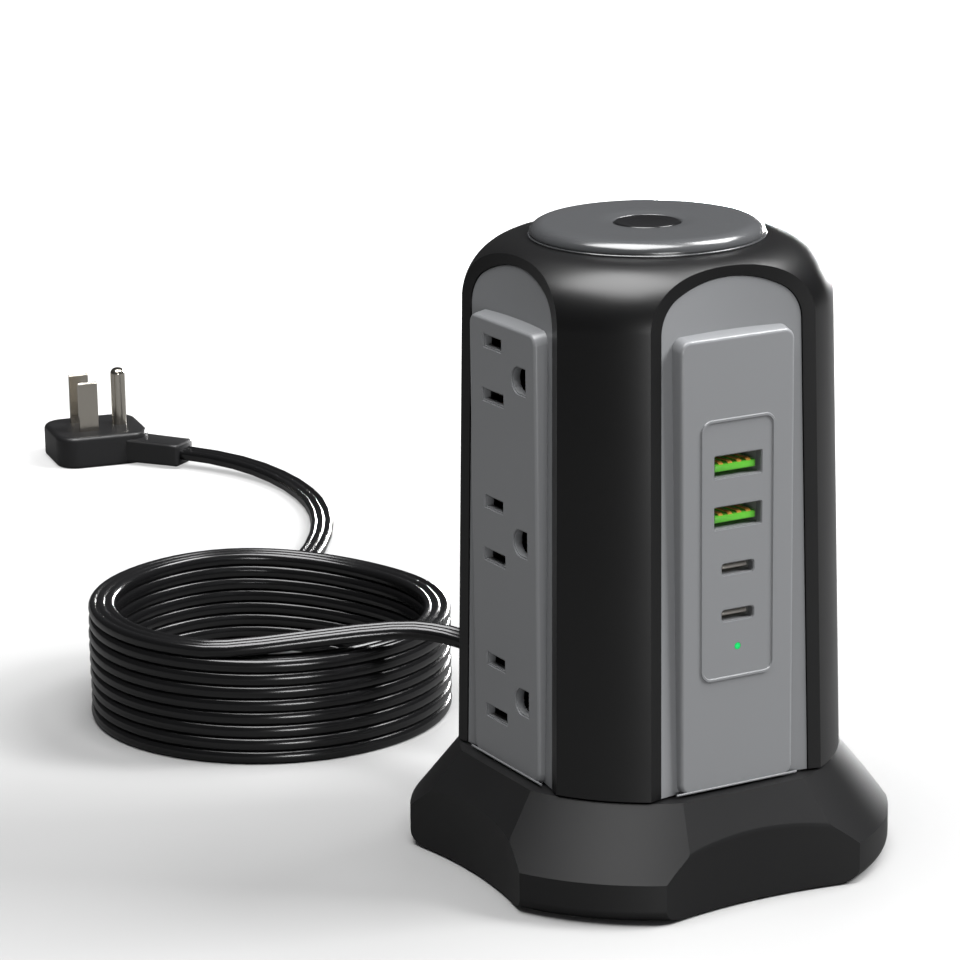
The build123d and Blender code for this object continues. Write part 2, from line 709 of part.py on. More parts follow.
contacts = []
for side, turn in SIDES.items():
    tray = contact_tray(turn)
    tray.part.label = "contact_tray_" + side
    contacts.append(tray)
    for kind, place in RAILS.items():
        rail = contact_rail(turn, *place)
        rail.part.label = kind + "_rail_" + side
        contacts.append(rail)

# ---------------------------------------------------------------- overload breaker under the foot
breaker_width, breaker_length, breaker_height = 13.0, 17.0, 14.0
breaker_bottom = 4.6
reset_face, reset_collar, reset_rod_top = 1.2, 2.75, 9.9
collar_thickness = 1.6

with BuildPart() as breaker_body:
    with Locations((reset_u, reset_v, breaker_bottom)):
        Box(breaker_width, breaker_length, breaker_height, align=(Align.CENTER, Align.CENTER, Align.MIN))
    fillet(breaker_body.edges().filter_by(Axis.Z), 1.0)
    with Locations((reset_u, reset_v, cover_top)):
        Cylinder(6.2, breaker_bottom - cover_top, align=(Align.CENTER, Align.CENTER, Align.MIN))
    # stepped bore for the reset button's collar and rod
    with Locations((reset_u, reset_v, 0)):
        wide_top = reset_collar + collar_thickness + reset_travel + 0.4
        narrow_top = reset_rod_top + reset_travel + 0.6
        Cylinder(
            reset_collar_radius + 0.2, wide_top, align=(Align.CENTER, Align.CENTER, Align.MIN), mode=Mode.SUBTRACT
        )
        Cylinder(2.8, narrow_top, align=(Align.CENTER, Align.CENTER, Align.MIN), mode=Mode.SUBTRACT)
breaker_body.part.label = "breaker_body"

with BuildPart() as breaker_reset_button:
    with Locations((reset_u, reset_v, reset_face)):
        Cylinder(reset_radius, reset_collar - reset_face, align=(Align.CENTER, Align.CENTER, Align.MIN))
    fillet(breaker_reset_button.edges().group_by(Axis.Z)[0], 0.4)
    with Locations((reset_u, reset_v, reset_collar)):
        Cylinder(reset_collar_radius, collar_thickness, align=(Align.CENTER, Align.CENTER, Align.MIN))
        Cylinder(2.6, reset_rod_top - reset_collar, align=(Align.CENTER, Align.CENTER, Align.MIN))
breaker_reset_button.part.label = "breaker_reset_button"

with BuildPart() as breaker_terminals:
    with BuildSketch(Plane.XY.offset(breaker_bottom + breaker_height)):
        with Locations((reset_u - 3.5, reset_v + 3), (reset_u + 3.5, reset_v + 3)):
            Rectangle(0.8, 5.0)
    extrude(amount=2.9)
breaker_terminals.part.label = "breaker_terminals"

# ---------------------------------------------------------------- cord, strain relief and plug
def section(width, height, plane):
    """Cross-section of the flat cord or of its boot: a level oblong with round ends."""
    with BuildSketch(plane) as outline:
        RectangleRounded(width, height, min(width, height) / 2 - 0.05)
    return outline.sketch.face()


def heading(angle):
    return Vector(cos(radians(angle)), sin(radians(angle)), 0)


def level_plane(place, direction):
    """Plane across a level run: its x lies level, its z points along the run."""
    return Plane(origin=place, x_dir=direction.cross(Vector(0, 0, 1)), z_dir=direction)


relief_angle, relief_length, relief_inside = 97.0, 20.0, 6.0
relief_root = Vector(-relief_u, plateau_face, exit_height)
relief_tip = relief_root + heading(relief_angle) * relief_length

with BuildPart() as strain_relief:
    inner = Vector(-relief_u, plateau_face - relief_inside, exit_height)
    start = level_plane(relief_root, heading(90))
    extrude(section(relief_root_width - 0.4, relief_root_height - 2.8, start), amount=-relief_inside)
    root = section(relief_root_width, relief_root_height, level_plane(relief_root + Vector(0, 0.1, 0), heading(90)))
    tip = section(cord_width + 1.2, cord_height + 1.2, level_plane(relief_tip, heading(relief_angle)))
    loft([root, tip])
    extrude(section(relief_root_width, relief_root_height, start), amount=0.1)
strain_relief.part.label = "strain_relief"


def corner_radii(points, share=0.45):
    """Largest tangent arc that each corner of the route allows."""
    radii = []
    for before, here, after in zip(points, points[1:], points[2:]):
        turn = radians((here - before).get_angle(after - here))
        shorter = min((here - before).length, (after - here).length)
        radii.append(share * shorter / tan(turn / 2))
    return radii


def cord_tube(name, points):
    """Flat cord along straight runs joined by tangent arcs."""
    radii = corner_radii(points)
    with BuildPart() as tube:
        with BuildLine() as route:
            FilletPolyline(*points, radius=radii)
        first = points[1] - points[0]
        across = first.cross(Vector(0, 0, 1))
        with BuildSketch(Plane(origin=points[0], x_dir=across, z_dir=first)) as cut:
            RectangleRounded(cord_width, cord_height, cord_height / 2 - 0.05)
        sweep()
    tube.part.label = name
    length = sum(edge.length for edge in route.edges())
    ratio = tube.part.volume / (cut.sketch.area * length)
    print(name, "length", round(length, 1), "volume ratio", round(ratio, 4))
    print("  corner radii", [round(radius, 1) for radius in radii])
    return tube, length


coil_centre = Vector(coil_x, coil_y, 0)
coil_height = coil_turns * cord_height
lead_join = coil_centre + heading(lead_angle) * coil_radius + Vector(0, 0, coil_height - cord_height / 2)
tail_join = coil_centre + heading(tail_angle) * coil_radius + Vector(0, 0, cord_height / 2)
floor_lie = cord_height / 2

lead_points = [
    relief_tip,
    Vector(-5.0, 71.5, 30.0),
    Vector(-11.2, 82.6, 31.6),
    Vector(-22.0, 89.6, 32.4),
    lead_join,
]
cord_lead, lead_length = cord_tube("cord_lead", lead_points)

plug_neck_end = Vector(52.7, 375.6, 4.6)
tail_points = [
    tail_join,
    Vector(-17.4, 203.0, floor_lie),
    Vector(19.4, 233.4, floor_lie),
    Vector(47.9, 266.6, floor_lie),
    Vector(65.0, 300.6, floor_lie),
    Vector(70.0, 334.0, floor_lie + 0.6),
    Vector(62.6, 361.6, 4.4),
    plug_neck_end,
]
cord_tail, tail_length = cord_tube("cord_tail", tail_points)

with BuildPart() as cord_coil:
    with Locations((coil_x, coil_y, 0)):
        Cylinder(coil_radius + cord_width / 2, coil_height, align=(Align.CENTER, Align.CENTER, Align.MIN))
        Cylinder(coil_radius - cord_width / 2, 80, mode=Mode.SUBTRACT)
cord_coil.part.label = "cord_coil"
turned = coil_turns - 1 + (lead_angle - tail_angle) / 360
print("cord in the coil", round(turned * 2 * pi * coil_radius, 1))
print("whole cord", round(turned * 2 * pi * coil_radius + lead_length + tail_length, 1))

# the plug lies on its flat face, pins up; its neck leaves one corner at 45 degrees
plug_width, plug_height, plug_thickness, plug_corner = 29.0, 31.0, 10.6, 7.0
neck_width, neck_thickness, neck_length, neck_reach = 10.8, 7.4, 15.5, 12.0
plug_reach = 18.3  # plug's middle to its rounded corner
neck_angle = degrees(atan2(plug_neck_end.Y - tail_points[-2].Y, plug_neck_end.X - tail_points[-2].X))
neck_way = heading(neck_angle)
plug_centre = plug_neck_end - Vector(0, 0, plug_neck_end.Z) + neck_way * (neck_length + plug_reach)
plug_plane = Plane(origin=plug_centre, x_dir=heading(neck_angle - 45), z_dir=(0, 0, 1))

with BuildPart() as plug_body:
    with BuildSketch(plug_plane):
        RectangleRounded(plug_width, plug_height, plug_corner)
    extrude(amount=plug_thickness)
    fillet(plug_body.edges().group_by(Axis.Z)[0], 1.0)
    fillet(plug_body.edges().group_by(Axis.Z)[-1], 1.4)
    neck_start = Vector(plug_neck_end.X, plug_neck_end.Y, plug_neck_end.Z)
    with BuildSketch(Plane(origin=neck_start, x_dir=neck_way.cross(Vector(0, 0, 1)), z_dir=neck_way)):
        RectangleRounded(neck_width, neck_thickness, 1.0)
    extrude(amount=neck_length + neck_reach)
plug_body.part.label = "plug_body"

blade_width, blade_length, blade_thickness = 6.35, 16.5, 1.5
ground_pin_radius, ground_pin_length, pin_offset = 2.4, 19.0, 11.9
blade_up = 3.8

with BuildPart() as plug_blades:
    with BuildSketch(plug_plane.offset(plug_thickness)):
        with Locations((-blade_gap / 2, blade_up), (blade_gap / 2, blade_up)):
            Rectangle(blade_thickness, blade_width)
    extrude(amount=blade_length)
    chamfer(plug_blades.edges().group_by(Axis.Z)[-1].filter_by(lambda e: e.length > 5), 0.5)
plug_blades.part.label = "plug_blades"

with BuildPart() as plug_ground_pin:
    with BuildSketch(plug_plane.offset(plug_thickness)):
        with Locations((0, blade_up - pin_offset)):
            Circle(ground_pin_radius)
    extrude(amount=ground_pin_length)
    fillet(plug_ground_pin.edges().group_by(Axis.Z)[-1], 2.0)
plug_ground_pin.part.label = "plug_ground_pin"

# the cord's three cores run from the strain relief to the breaker and up to the switch
core_radius = 1.1

with BuildPart() as inner_leads:
    for x in (-3.4, 0.0, 3.4):
        start = Vector(x - relief_u, plateau_face - relief_inside, 29.4)
        down = Vector(x * 0.7, -0.5, 20.2)
        stops = [start, Vector(x - relief_u, 26.0, 29.4), Vector(x, 7.0, 29.0), Vector(x * 0.7, -0.5, 24.0), down]
        if x:
            stops.append(Vector(x, -16.4, 20.2))
        else:
            stops[-1] = Vector(0, -0.5, 8.0)
        with BuildLine():
            FilletPolyline(*stops, radius=corner_radii(stops))
        with BuildSketch(Plane(origin=start, x_dir=(1, 0, 0), z_dir=(0, -1, 0))):
            Circle(core_radius)
        sweep()
inner_leads.part.label = "inner_leads"

# ---------------------------------------------------------------- hand out the pieces
pieces = [
    base_housing, base_cover, rubber_feet, base_screws,
    body_shell, usb_panel, *outlet_panels.values(),
    top_disc, power_button, button_spring, switch_body, switch_plunger,
    inner_frame, frame_screws, surge_board, transformer_winding, transformer_core, capacitors, varistors,
    usb_board, usb_a_shells, usb_a_tongues, usb_a_contacts, usb_c_shells, usb_c_tongues, status_led,
    *contacts,
    breaker_body, breaker_reset_button, breaker_terminals,
    strain_relief, inner_leads, cord_lead, cord_coil, cord_tail,
    plug_body, plug_blades, plug_ground_pin,
]
os.makedirs("parts", exist_ok=True)
for piece in pieces:
    export_step(piece.part, "parts/" + piece.part.label + ".step")
print(len(pieces), "nodes")
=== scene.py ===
# %% [markdown]
# # A tower power strip, dressed in Blender
# The solid model of the tower is already made and packed. This lesson loads it as a fixed frame and
# gives every piece the surface that the real one has. Pieces whose look depends on their skin (the
# ribbed cord, the rolled rim of the disc, the spring contacts) are worked out again as numpy surfaces.
# Everything is in metres, +Z is up and the floor is at z = 0.

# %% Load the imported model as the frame
import math

import bmesh
import bpy
import numpy as np
from mathutils import Matrix, Vector


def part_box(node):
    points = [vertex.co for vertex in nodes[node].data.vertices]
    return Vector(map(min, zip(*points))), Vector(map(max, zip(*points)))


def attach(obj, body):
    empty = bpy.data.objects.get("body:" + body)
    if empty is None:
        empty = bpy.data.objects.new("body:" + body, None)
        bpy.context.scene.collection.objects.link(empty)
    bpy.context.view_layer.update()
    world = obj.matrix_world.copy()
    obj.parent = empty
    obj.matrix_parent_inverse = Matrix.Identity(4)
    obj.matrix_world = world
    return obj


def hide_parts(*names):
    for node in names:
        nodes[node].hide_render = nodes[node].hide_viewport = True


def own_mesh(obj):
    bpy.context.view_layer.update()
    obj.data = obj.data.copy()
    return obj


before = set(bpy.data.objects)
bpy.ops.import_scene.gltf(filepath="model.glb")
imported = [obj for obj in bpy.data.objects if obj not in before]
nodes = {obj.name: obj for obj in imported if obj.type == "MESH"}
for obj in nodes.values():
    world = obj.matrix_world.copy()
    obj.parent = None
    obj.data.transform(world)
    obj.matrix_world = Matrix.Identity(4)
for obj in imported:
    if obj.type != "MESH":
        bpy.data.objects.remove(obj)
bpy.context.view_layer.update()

MM = 0.001
UP = np.array([0, 0, 1.0])
SIDES = ("left", "rear", "right")

# %% [markdown]
# ## The camera comes first
# A long lens from a little above makes the tower look the way a catalogue shows it: upright edges
# stay nearly parallel. A camera can be aimed with a Track To constraint, but a small roll is easier
# to state directly, so its three axes are worked out from a heading, a tilt and a roll.


# %% Aim the camera
def aim(heading, tilt, roll):
    """Camera axes as matrix columns: the view direction is the heading turned from +X and raised
    by the tilt, the right-hand axis is level, and both side axes then turn by the roll."""
    a, t, r = (math.radians(v) for v in (heading, tilt, roll))
    view = Vector((math.cos(t) * math.cos(a), math.cos(t) * math.sin(a), math.sin(t)))
    level = view.cross(Vector((0, 0, 1))).normalized()
    raised = level.cross(view)
    right = level * math.cos(r) + raised * math.sin(r)
    up = raised * math.cos(r) - level * math.sin(r)
    return Matrix((right, up, -view)).transposed().to_4x4()


CAMERA_PLACE, CAMERA_AIM = (-0.44973, -0.73154, 0.32045), aim(61.025, -15.079, -0.811)
camera_data = bpy.data.cameras.new("catalogue_camera")
camera_data.lens, camera_data.sensor_width = 143.0, 36.0
camera_data.clip_start, camera_data.clip_end = 0.05, 30.0
camera = bpy.data.objects.new("catalogue_camera", camera_data)
bpy.context.scene.collection.objects.link(camera)
camera.matrix_world = Matrix.Translation(CAMERA_PLACE) @ CAMERA_AIM
bpy.context.scene.camera = camera
print("camera", tuple(round(v, 3) for v in camera.location), "lens", camera_data.lens)

# %% [markdown]
# ## A helper that turns arrays into a mesh
# Every new piece is a grid of points: rows run along a path or a profile, columns run round it. Quads
# join each point to its neighbours. Writing whole arrays with `foreach_set` is quick even for tens of
# thousands of points. Rows that have shrunk to a single point are merged afterwards, so that poles
# close, and the normals are worked out again so that all faces point outwards.


# %% Surface helpers
SAME_PLACE, NO_LENGTH = 2e-7, 1e-8  # metres


def link(name, mesh):
    """A mesh as an object of the scene, unturned at the origin."""
    piece = bpy.data.objects.new(name, mesh)
    bpy.context.scene.collection.objects.link(piece)
    return piece


def fill(mesh, points, quads, ends):
    """Points is an array of places; quads holds four point numbers a face; ends holds whole loops."""
    mesh.vertices.add(len(points))
    mesh.vertices.foreach_set("co", np.asarray(points, np.float32).ravel())
    sizes = np.concatenate([np.full(len(quads), 4), [len(e) for e in ends]]).astype(np.int32)
    corners = np.concatenate([quads.ravel(), *ends]).astype(np.int32)
    mesh.loops.add(len(corners))
    mesh.loops.foreach_set("vertex_index", corners)
    mesh.polygons.add(len(sizes))
    mesh.polygons.foreach_set("loop_start", (np.cumsum(sizes) - sizes).astype(np.int32))
    mesh.polygons.foreach_set("loop_total", sizes)
    mesh.update(calc_edges=True)


def surface(name, points, ends=True, crease=35.0):
    """A piece from a grid of points, rows by columns. The last column joins the first; with ends,
    the first and last rows are closed by one flat face each. Edges that turn by more than crease
    degrees stay sharp, all others are smooth."""
    points = np.asarray(points, float)
    rows, columns = points.shape[:2]
    here = np.arange(rows * columns).reshape(rows, columns)
    after = np.roll(here, -1, axis=1)
    quads = np.stack([here[:-1], after[:-1], after[1:], here[1:]], axis=-1).reshape(-1, 4)
    loops = [here[0][::-1], here[-1]] if ends else []
    mesh = bpy.data.meshes.new(name)
    fill(mesh, points.reshape(-1, 3), quads, loops)
    settle(mesh, crease)
    return link(name, mesh)


def settle(mesh, crease):
    """Merges doubled points, turns every face outwards and marks the sharp edges."""
    work = bmesh.new()
    work.from_mesh(mesh)
    bmesh.ops.remove_doubles(work, verts=work.verts, dist=SAME_PLACE)
    bmesh.ops.dissolve_degenerate(work, dist=NO_LENGTH, edges=work.edges)
    bmesh.ops.recalc_face_normals(work, faces=work.faces)
    work.to_mesh(mesh)
    work.free()
    mesh.shade_smooth()
    mesh.set_sharp_from_angle(angle=math.radians(crease))


def spun(name, profile, around, crease, closed=False):
    """A profile of (radius, height) pairs in millimetres, carried once round the tower's axis."""
    profile = np.asarray(profile, float)
    if closed:
        profile = np.vstack([profile, profile[:1]])
    turn = np.linspace(0, 2 * np.pi, around, endpoint=False)
    radius, height = profile[:, 0, None], profile[:, 1, None]
    grid = np.stack([radius * np.cos(turn), radius * np.sin(turn), height + 0 * turn], axis=-1)
    return surface(name, grid * MM, ends=False, crease=crease)


def arc(middle, radii, start, stop, steps):
    """Points on an ellipse about middle, from one angle to another, in degrees."""
    turn = np.radians(np.linspace(start, stop, steps))
    across, up = radii[0] * np.cos(turn), radii[1] * np.sin(turn)
    return np.stack([middle[0] + across, middle[1] + up], axis=-1)


print("helpers ready")

# %% [markdown]
# ## The cord: one line first
# The flat mains cord leaves the back of the tower, winds once round and round into a neat standing
# coil, and runs on to its plug. It is one length of cable, so it is one spline: a few control points
# for the lead, 24 for every turn of the coil, and a few for the tail. A NURBS spline of order 3 rounds
# all of it. Each turn lies flat on the one below and climbs one cord height at the back, as a wound
# cord does.

# %% The cord's route
CORD_WIDTH, CORD_HEIGHT = 7.0, 3.45
COIL_CENTRE, COIL_RADIUS, POINTS_A_TURN = (-32.5, 137.4), 44.2, 24
COIL_START, COIL_END, LEVELS = 125.0, 250.0, 9
CLIMB_FROM, CLIMB_OVER = 250, 76  # degrees of each turn
WANDER = ((0.09, 0.83, 0.0), (0.05, 2.31, 1.0))  # millimetres, waves a turn, start in radians

LEAD = [(-3.44, 58.55, 29.6), (-5.0, 71.5, 30.0), (-11.2, 82.6, 31.6), (-22.0, 89.6, 32.4)]
TAIL = [
    (-17.4, 203.0, 1.725), (19.4, 233.4, 1.725), (47.9, 266.6, 1.725), (65.0, 300.6, 1.725),
    (70.0, 334.0, 2.325), (62.6, 361.6, 4.4), (52.7, 375.6, 4.6),
]


def coil_points():
    """Control points from the top of the coil down to the floor. The height is the number of
    whole turns below, plus a smooth step over a fifth of a turn, times the cord's height; the
    radius wanders by a tenth of a millimetre, because no hand winds perfectly."""
    turned = 360 * (LEVELS - 1) + COIL_END - COIL_START
    angle = np.arange(0, turned + 1e-6, 360 / POINTS_A_TURN)
    whole, part = np.divmod(angle, 360)
    step = np.clip((part - CLIMB_FROM) / CLIMB_OVER, 0, 1)
    level = whole + step * step * (3 - 2 * step)
    wander = sum(
        size * np.sin(np.radians(angle) * waves + start) for size, waves, start in WANDER
    )
    radius = COIL_RADIUS / np.cos(np.pi / POINTS_A_TURN) + wander
    place = np.radians(angle + COIL_START)
    x = COIL_CENTRE[0] + radius * np.cos(place)
    y = COIL_CENTRE[1] + radius * np.sin(place)
    z = (level + 0.5) * CORD_HEIGHT
    return np.stack([x, y, z], axis=-1)[::-1]


route = np.vstack([LEAD, coil_points()[1:-1], TAIL]) * MM


def spline_through(name, controls):
    """A NURBS spline of order 3 with these control points."""
    curve = bpy.data.curves.new(name, "CURVE")
    curve.dimensions, curve.resolution_u = "3D", 3
    spline = curve.splines.new("NURBS")
    spline.points.add(len(controls) - 1)
    flat = np.hstack([controls, np.ones((len(controls), 1))])
    spline.points.foreach_set("co", flat.ravel().astype(np.float32))
    spline.order_u = 3
    spline.use_endpoint_u = True
    return bpy.data.objects.new(name, curve)


def centreline(line):
    """The spline's own points, as Blender works them out, then the line is thrown away."""
    mesh = bpy.data.meshes.new_from_object(line)
    place = np.zeros(len(mesh.vertices) * 3)
    mesh.vertices.foreach_get("co", place)
    bpy.data.meshes.remove(mesh)
    bpy.data.objects.remove(line)
    return place.reshape(-1, 3)


path = centreline(spline_through("cord_route", route))
cord_length = float(np.linalg.norm(np.diff(path, axis=0), axis=1).sum())
print("cord", len(path), "points,", round(cord_length, 3), "m")

# %% [markdown]
# ## The cord: a ribbed section carried along it
# The cable is three insulated cores moulded side by side, so its section is three lobes with a web
# between them. A Bevel Object on the curve could carry the section, but it would twist where the line
# climbs. Here the section's wide side is kept level: the side axis is the path's direction
# crossed with straight up.


# %% Sweep the ribbed section
WEB_SHARE = 0.33  # the web's half height, as a share of the cord's height


def ribbed_section(width, height, lobes=3, steps=10):
    """Outline of a flat cord. Its half height at a place across is the larger of two curves, an
    ellipse over the nearest core and a flat web, blended by adding their eighth powers."""
    pitch = width / lobes
    turn = (np.arange(steps) + 0.5) / steps * np.pi
    cores = (np.arange(lobes) - (lobes - 1) / 2) * pitch
    across = (cores[:, None] - np.cos(turn) * pitch / 2).ravel()
    near = cores[:, None] * np.ones(steps)
    off = (across - near.ravel()) / (pitch / 2)
    lobe = height / 2 * np.sqrt(np.clip(1 - off**2, 0, 1))
    web = np.where(np.abs(across) < (lobes - 1) / 2 * pitch, height * WEB_SHARE, 0)
    half = (lobe**8 + web**8) ** 0.125
    upper = np.stack([across, half], axis=-1)
    lower = np.stack([across[::-1], -half[::-1]], axis=-1)
    return np.vstack([upper, lower])


def along_path(points):
    """The level side axis and the raised axis of a path at each of its points."""
    direction = np.gradient(points, axis=0)
    direction /= np.linalg.norm(direction, axis=1, keepdims=True)
    side = np.cross(direction, UP)
    side /= np.linalg.norm(side, axis=1, keepdims=True)
    return side, np.cross(side, direction)


def swept(name, points, section, **rest):
    """The section (millimetres across and up) set at every point of the path (metres)."""
    side, raised = along_path(points)
    section = np.broadcast_to(section, (len(points),) + section.shape[-2:]) * MM
    grid = points[:, None] + section[..., :1] * side[:, None] + section[..., 1:] * raised[:, None]
    return surface(name, grid, **rest)


mains_cord = swept("mains_cord", path, ribbed_section(CORD_WIDTH, CORD_HEIGHT), crease=75)
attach(mains_cord, "tower")
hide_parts("cord_lead", "cord_coil", "cord_tail")
print("cord mesh", len(mains_cord.data.polygons), "faces")

# %% [markdown]
# ## Where the cord leaves the tower
# A moulded sleeve keeps the cord from bending sharply at the wall. It tapers from a wide root to just
# over the cord's own size, and shallow rings round it let it flex. It is a path with a section that
# shrinks: the ring pattern is a cosine along the length that pulls the section in.


# %% The ringed sleeve
def rounded_oblong(width, height, corner, steps=8):
    """Outline of an oblong whose corners are quarter circles."""
    corners = []
    for k, (sx, sy) in enumerate(((1, 1), (-1, 1), (-1, -1), (1, -1))):
        middle = (sx * (width / 2 - corner), sy * (height / 2 - corner))
        corners.append(arc(middle, (corner, corner), 90 * k, 90 * (k + 1), steps))
    return np.vstack(corners)


def level_way(degrees):
    """The level direction that is turned by this much from +X."""
    return np.array([math.cos(math.radians(degrees)), math.sin(math.radians(degrees)), 0.0])


SLEEVE_LENGTH, SLEEVE_CORNER = 20.0, 0.42
INSIDE_SIZE, ROOT_SIZE, SLEEVE_TAPER = (10.6, 4.2), (11, 7), (2.8, 2.35)
RINGS, RING_START, RING_PITCH, RING_DEPTH = 5, 3.2, 2.9, 0.07
TIP_STEPS, TIP_SQUEEZE = (20.35, 20.5), (0.97, 0.9)

sleeve_root, sleeve_way = np.array([-1.0, 38.7, 29.6]), level_way(97)
distance = np.concatenate([[-5.0, 0.0, 0.05], np.linspace(0.4, SLEEVE_LENGTH, 90), TIP_STEPS])
inside, share = distance < 0.01, np.clip(distance / SLEEVE_LENGTH, 0, 1)
wave = 2 * np.pi * np.clip((distance - RING_START) / RING_PITCH, 0, RINGS)
squeeze = 1 - RING_DEPTH * np.clip(0.5 - 0.5 * np.cos(wave), 0, 1) ** 0.6
squeeze[-2:] = TIP_SQUEEZE
wide, tall = (
    np.where(inside, hidden, root - taper * share) * squeeze
    for hidden, root, taper in zip(INSIDE_SIZE, ROOT_SIZE, SLEEVE_TAPER)
)
sections = np.stack([
    rounded_oblong(w, t, min(w, t) * SLEEVE_CORNER) for w, t in zip(wide, tall)
])
straight = np.where(distance[:, None] < 0, np.array([0.0, 1.0, 0.0]), sleeve_way)
sleeve_path = (sleeve_root + straight * distance[:, None]) * MM
cord_sleeve = swept("cord_sleeve", sleeve_path, sections, crease=40)
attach(cord_sleeve, "tower")
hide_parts("strain_relief")
print("sleeve", len(cord_sleeve.data.polygons), "faces")

# %% [markdown]
# ## The plug
# A low flat plug: a square with large round corners and softened edges, and a short neck off one
# corner that the cord enters. The head is a stack of the same outline, pulled in near the top and the
# bottom along a quarter circle, which is how a moulded edge is rounded.

# %% Plug head and neck
PLUG_SIZE, PLUG_CORNER, PLUG_EDGES = (29, 31, 10.6), 7, (1.3, 1.6)
NECK_LENGTH, NECK_TO_MIDDLE = 15.5, 18.3
NECK_WIDTH, NECK_HEIGHT, NECK_CORNER = 10.8, 7.4, 1.1

neck_end = np.array(TAIL[-1])
neck_angle = math.degrees(math.atan2(neck_end[1] - TAIL[-2][1], neck_end[0] - TAIL[-2][0]))
neck_way = level_way(neck_angle)
plug_middle = neck_end * [1, 1, 0] + neck_way * (NECK_LENGTH + NECK_TO_MIDDLE)


def turned_outline(outline, degrees):
    """The outline turned about its middle."""
    c, s = math.cos(math.radians(degrees)), math.sin(math.radians(degrees))
    return outline @ np.array([[c, s], [-s, c]])


def plug_head_grid(width, height, thickness, corner, low_edge, high_edge):
    """Rows climb the side: the inset at each height is one minus the cosine, the rise one minus the
    sine, of an angle that runs through a quarter turn at the low edge and another at the high."""
    turn = np.radians(np.linspace(0, 90, 9))
    by_sine, by_cosine = 1 - np.sin(turn), 1 - np.cos(turn)
    inset = np.concatenate([low_edge * by_sine, high_edge * by_cosine])
    rise = np.concatenate([low_edge * by_cosine, thickness - high_edge * by_sine])
    rows = []
    for pull, level in zip(inset, rise):
        outline = rounded_oblong(width - 2 * pull, height - 2 * pull, corner - pull, steps=14)
        flat = turned_outline(outline, neck_angle - 45) + plug_middle[:2]
        rows.append(np.column_stack([flat, np.full(len(flat), level)]))
    return np.stack(rows) * MM


plug_grid = plug_head_grid(*PLUG_SIZE, PLUG_CORNER, *PLUG_EDGES)
plug_head = surface("plug_head", plug_grid, crease=50)
reach = np.array([0.0, 0.25, 0.8, 4, 8, 12, 16, 20, 27.5])
neck_path = (neck_end + neck_way * reach[:, None]) * MM
shrink = np.array([0.86, 0.95, 1, 1, 1.01, 1.02, 1.03, 1.04, 1.04])
neck_sections = np.stack([
    rounded_oblong(NECK_WIDTH * k, NECK_HEIGHT * k, NECK_CORNER) for k in shrink
])
plug_neck = swept("plug_neck", neck_path, neck_sections, crease=40)
for piece in (plug_head, plug_neck):
    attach(piece, "tower")
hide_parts("plug_body")
print("plug at", plug_middle.round(1))

# %% [markdown]
# ## Shells that are already right
# The body, the foot and the four panels have the right shape in the solid model, but their mesh is
# triangles, which shade as flat facets. The curved faces of the model are all cylinders, cones or
# rounded shoulders, whose normals are known exactly. So each piece is copied, and every corner of the
# copy is given the normal of the true surface instead of an average of its facets.


# %% Known curved faces
def round_skin(point, along, radius):
    """A cylinder: a place is off it by its distance from the axis less the radius, and the surface
    looks straight away from the axis."""
    point = np.asarray(point, float)
    along = np.asarray(along, float) / np.linalg.norm(along)

    def skin(p):
        off = p - point
        off = off - (off @ along)[:, None] * along
        far = np.linalg.norm(off, axis=1) + 1e-12
        return far - radius, off / far[:, None]

    return skin


def spun_line(radius, height, loss):
    """A cone about the tower's axis that loses some radius for each millimetre of rise."""

    def skin(p):
        reach = np.hypot(p[:, 0], p[:, 1]) + 1e-12
        level = 1 / math.hypot(1, loss)
        off = (reach - radius + loss * (p[:, 2] - height)) * level
        outwards = p[:, :2] / reach[:, None] * level
        return off, np.column_stack([outwards, np.full(len(p), loss * level)])

    return skin


def spun_arc(radius, height, round_radius):
    """A rounded shoulder: an arc about (radius, height), carried round the tower's axis."""

    def skin(p):
        reach = np.hypot(p[:, 0], p[:, 1]) + 1e-12
        out, up = reach - radius, p[:, 2] - height
        far = np.hypot(out, up) + 1e-12
        outwards = p[:, :2] * (out / far / reach)[:, None]
        return far - round_radius, np.column_stack([outwards, up / far])

    return skin


WAYS = [np.array(way, float) for way in ((0, -1, 0), (1, 0, 0), (0, 1, 0), (-1, 0, 0))]
MIDDLE, BODY_RADIUS, BODY_LOSS = 100, 43.4, 0.022
CROWN_TOP, CROWN_ROUND = 147.2, 14.5
DISH_AWAY, DISH_RADIUS, DISH_LEAN = 145.1, 110, 0.0157
BEZEL_EXTRA, PANEL_EXTRA = 1.9, 0.25
FOOT_RADIUS, FOOT_SHOULDER, FOOT_ROUND = 56.8, 9.8, 3
FOOT_TOP_RADIUS, FOOT_TOP = 44.7, 24.9
SCOOP_AWAY, SCOOP_RADIUS = 163.1, 115.7


def dish_skins(extra):
    """The four dishing cylinders, which stand outside the tower and lean in by a degree."""
    return [
        round_skin(w * DISH_AWAY + UP * MIDDLE, UP - w * DISH_LEAN, DISH_RADIUS + extra)
        for w in WAYS
    ]


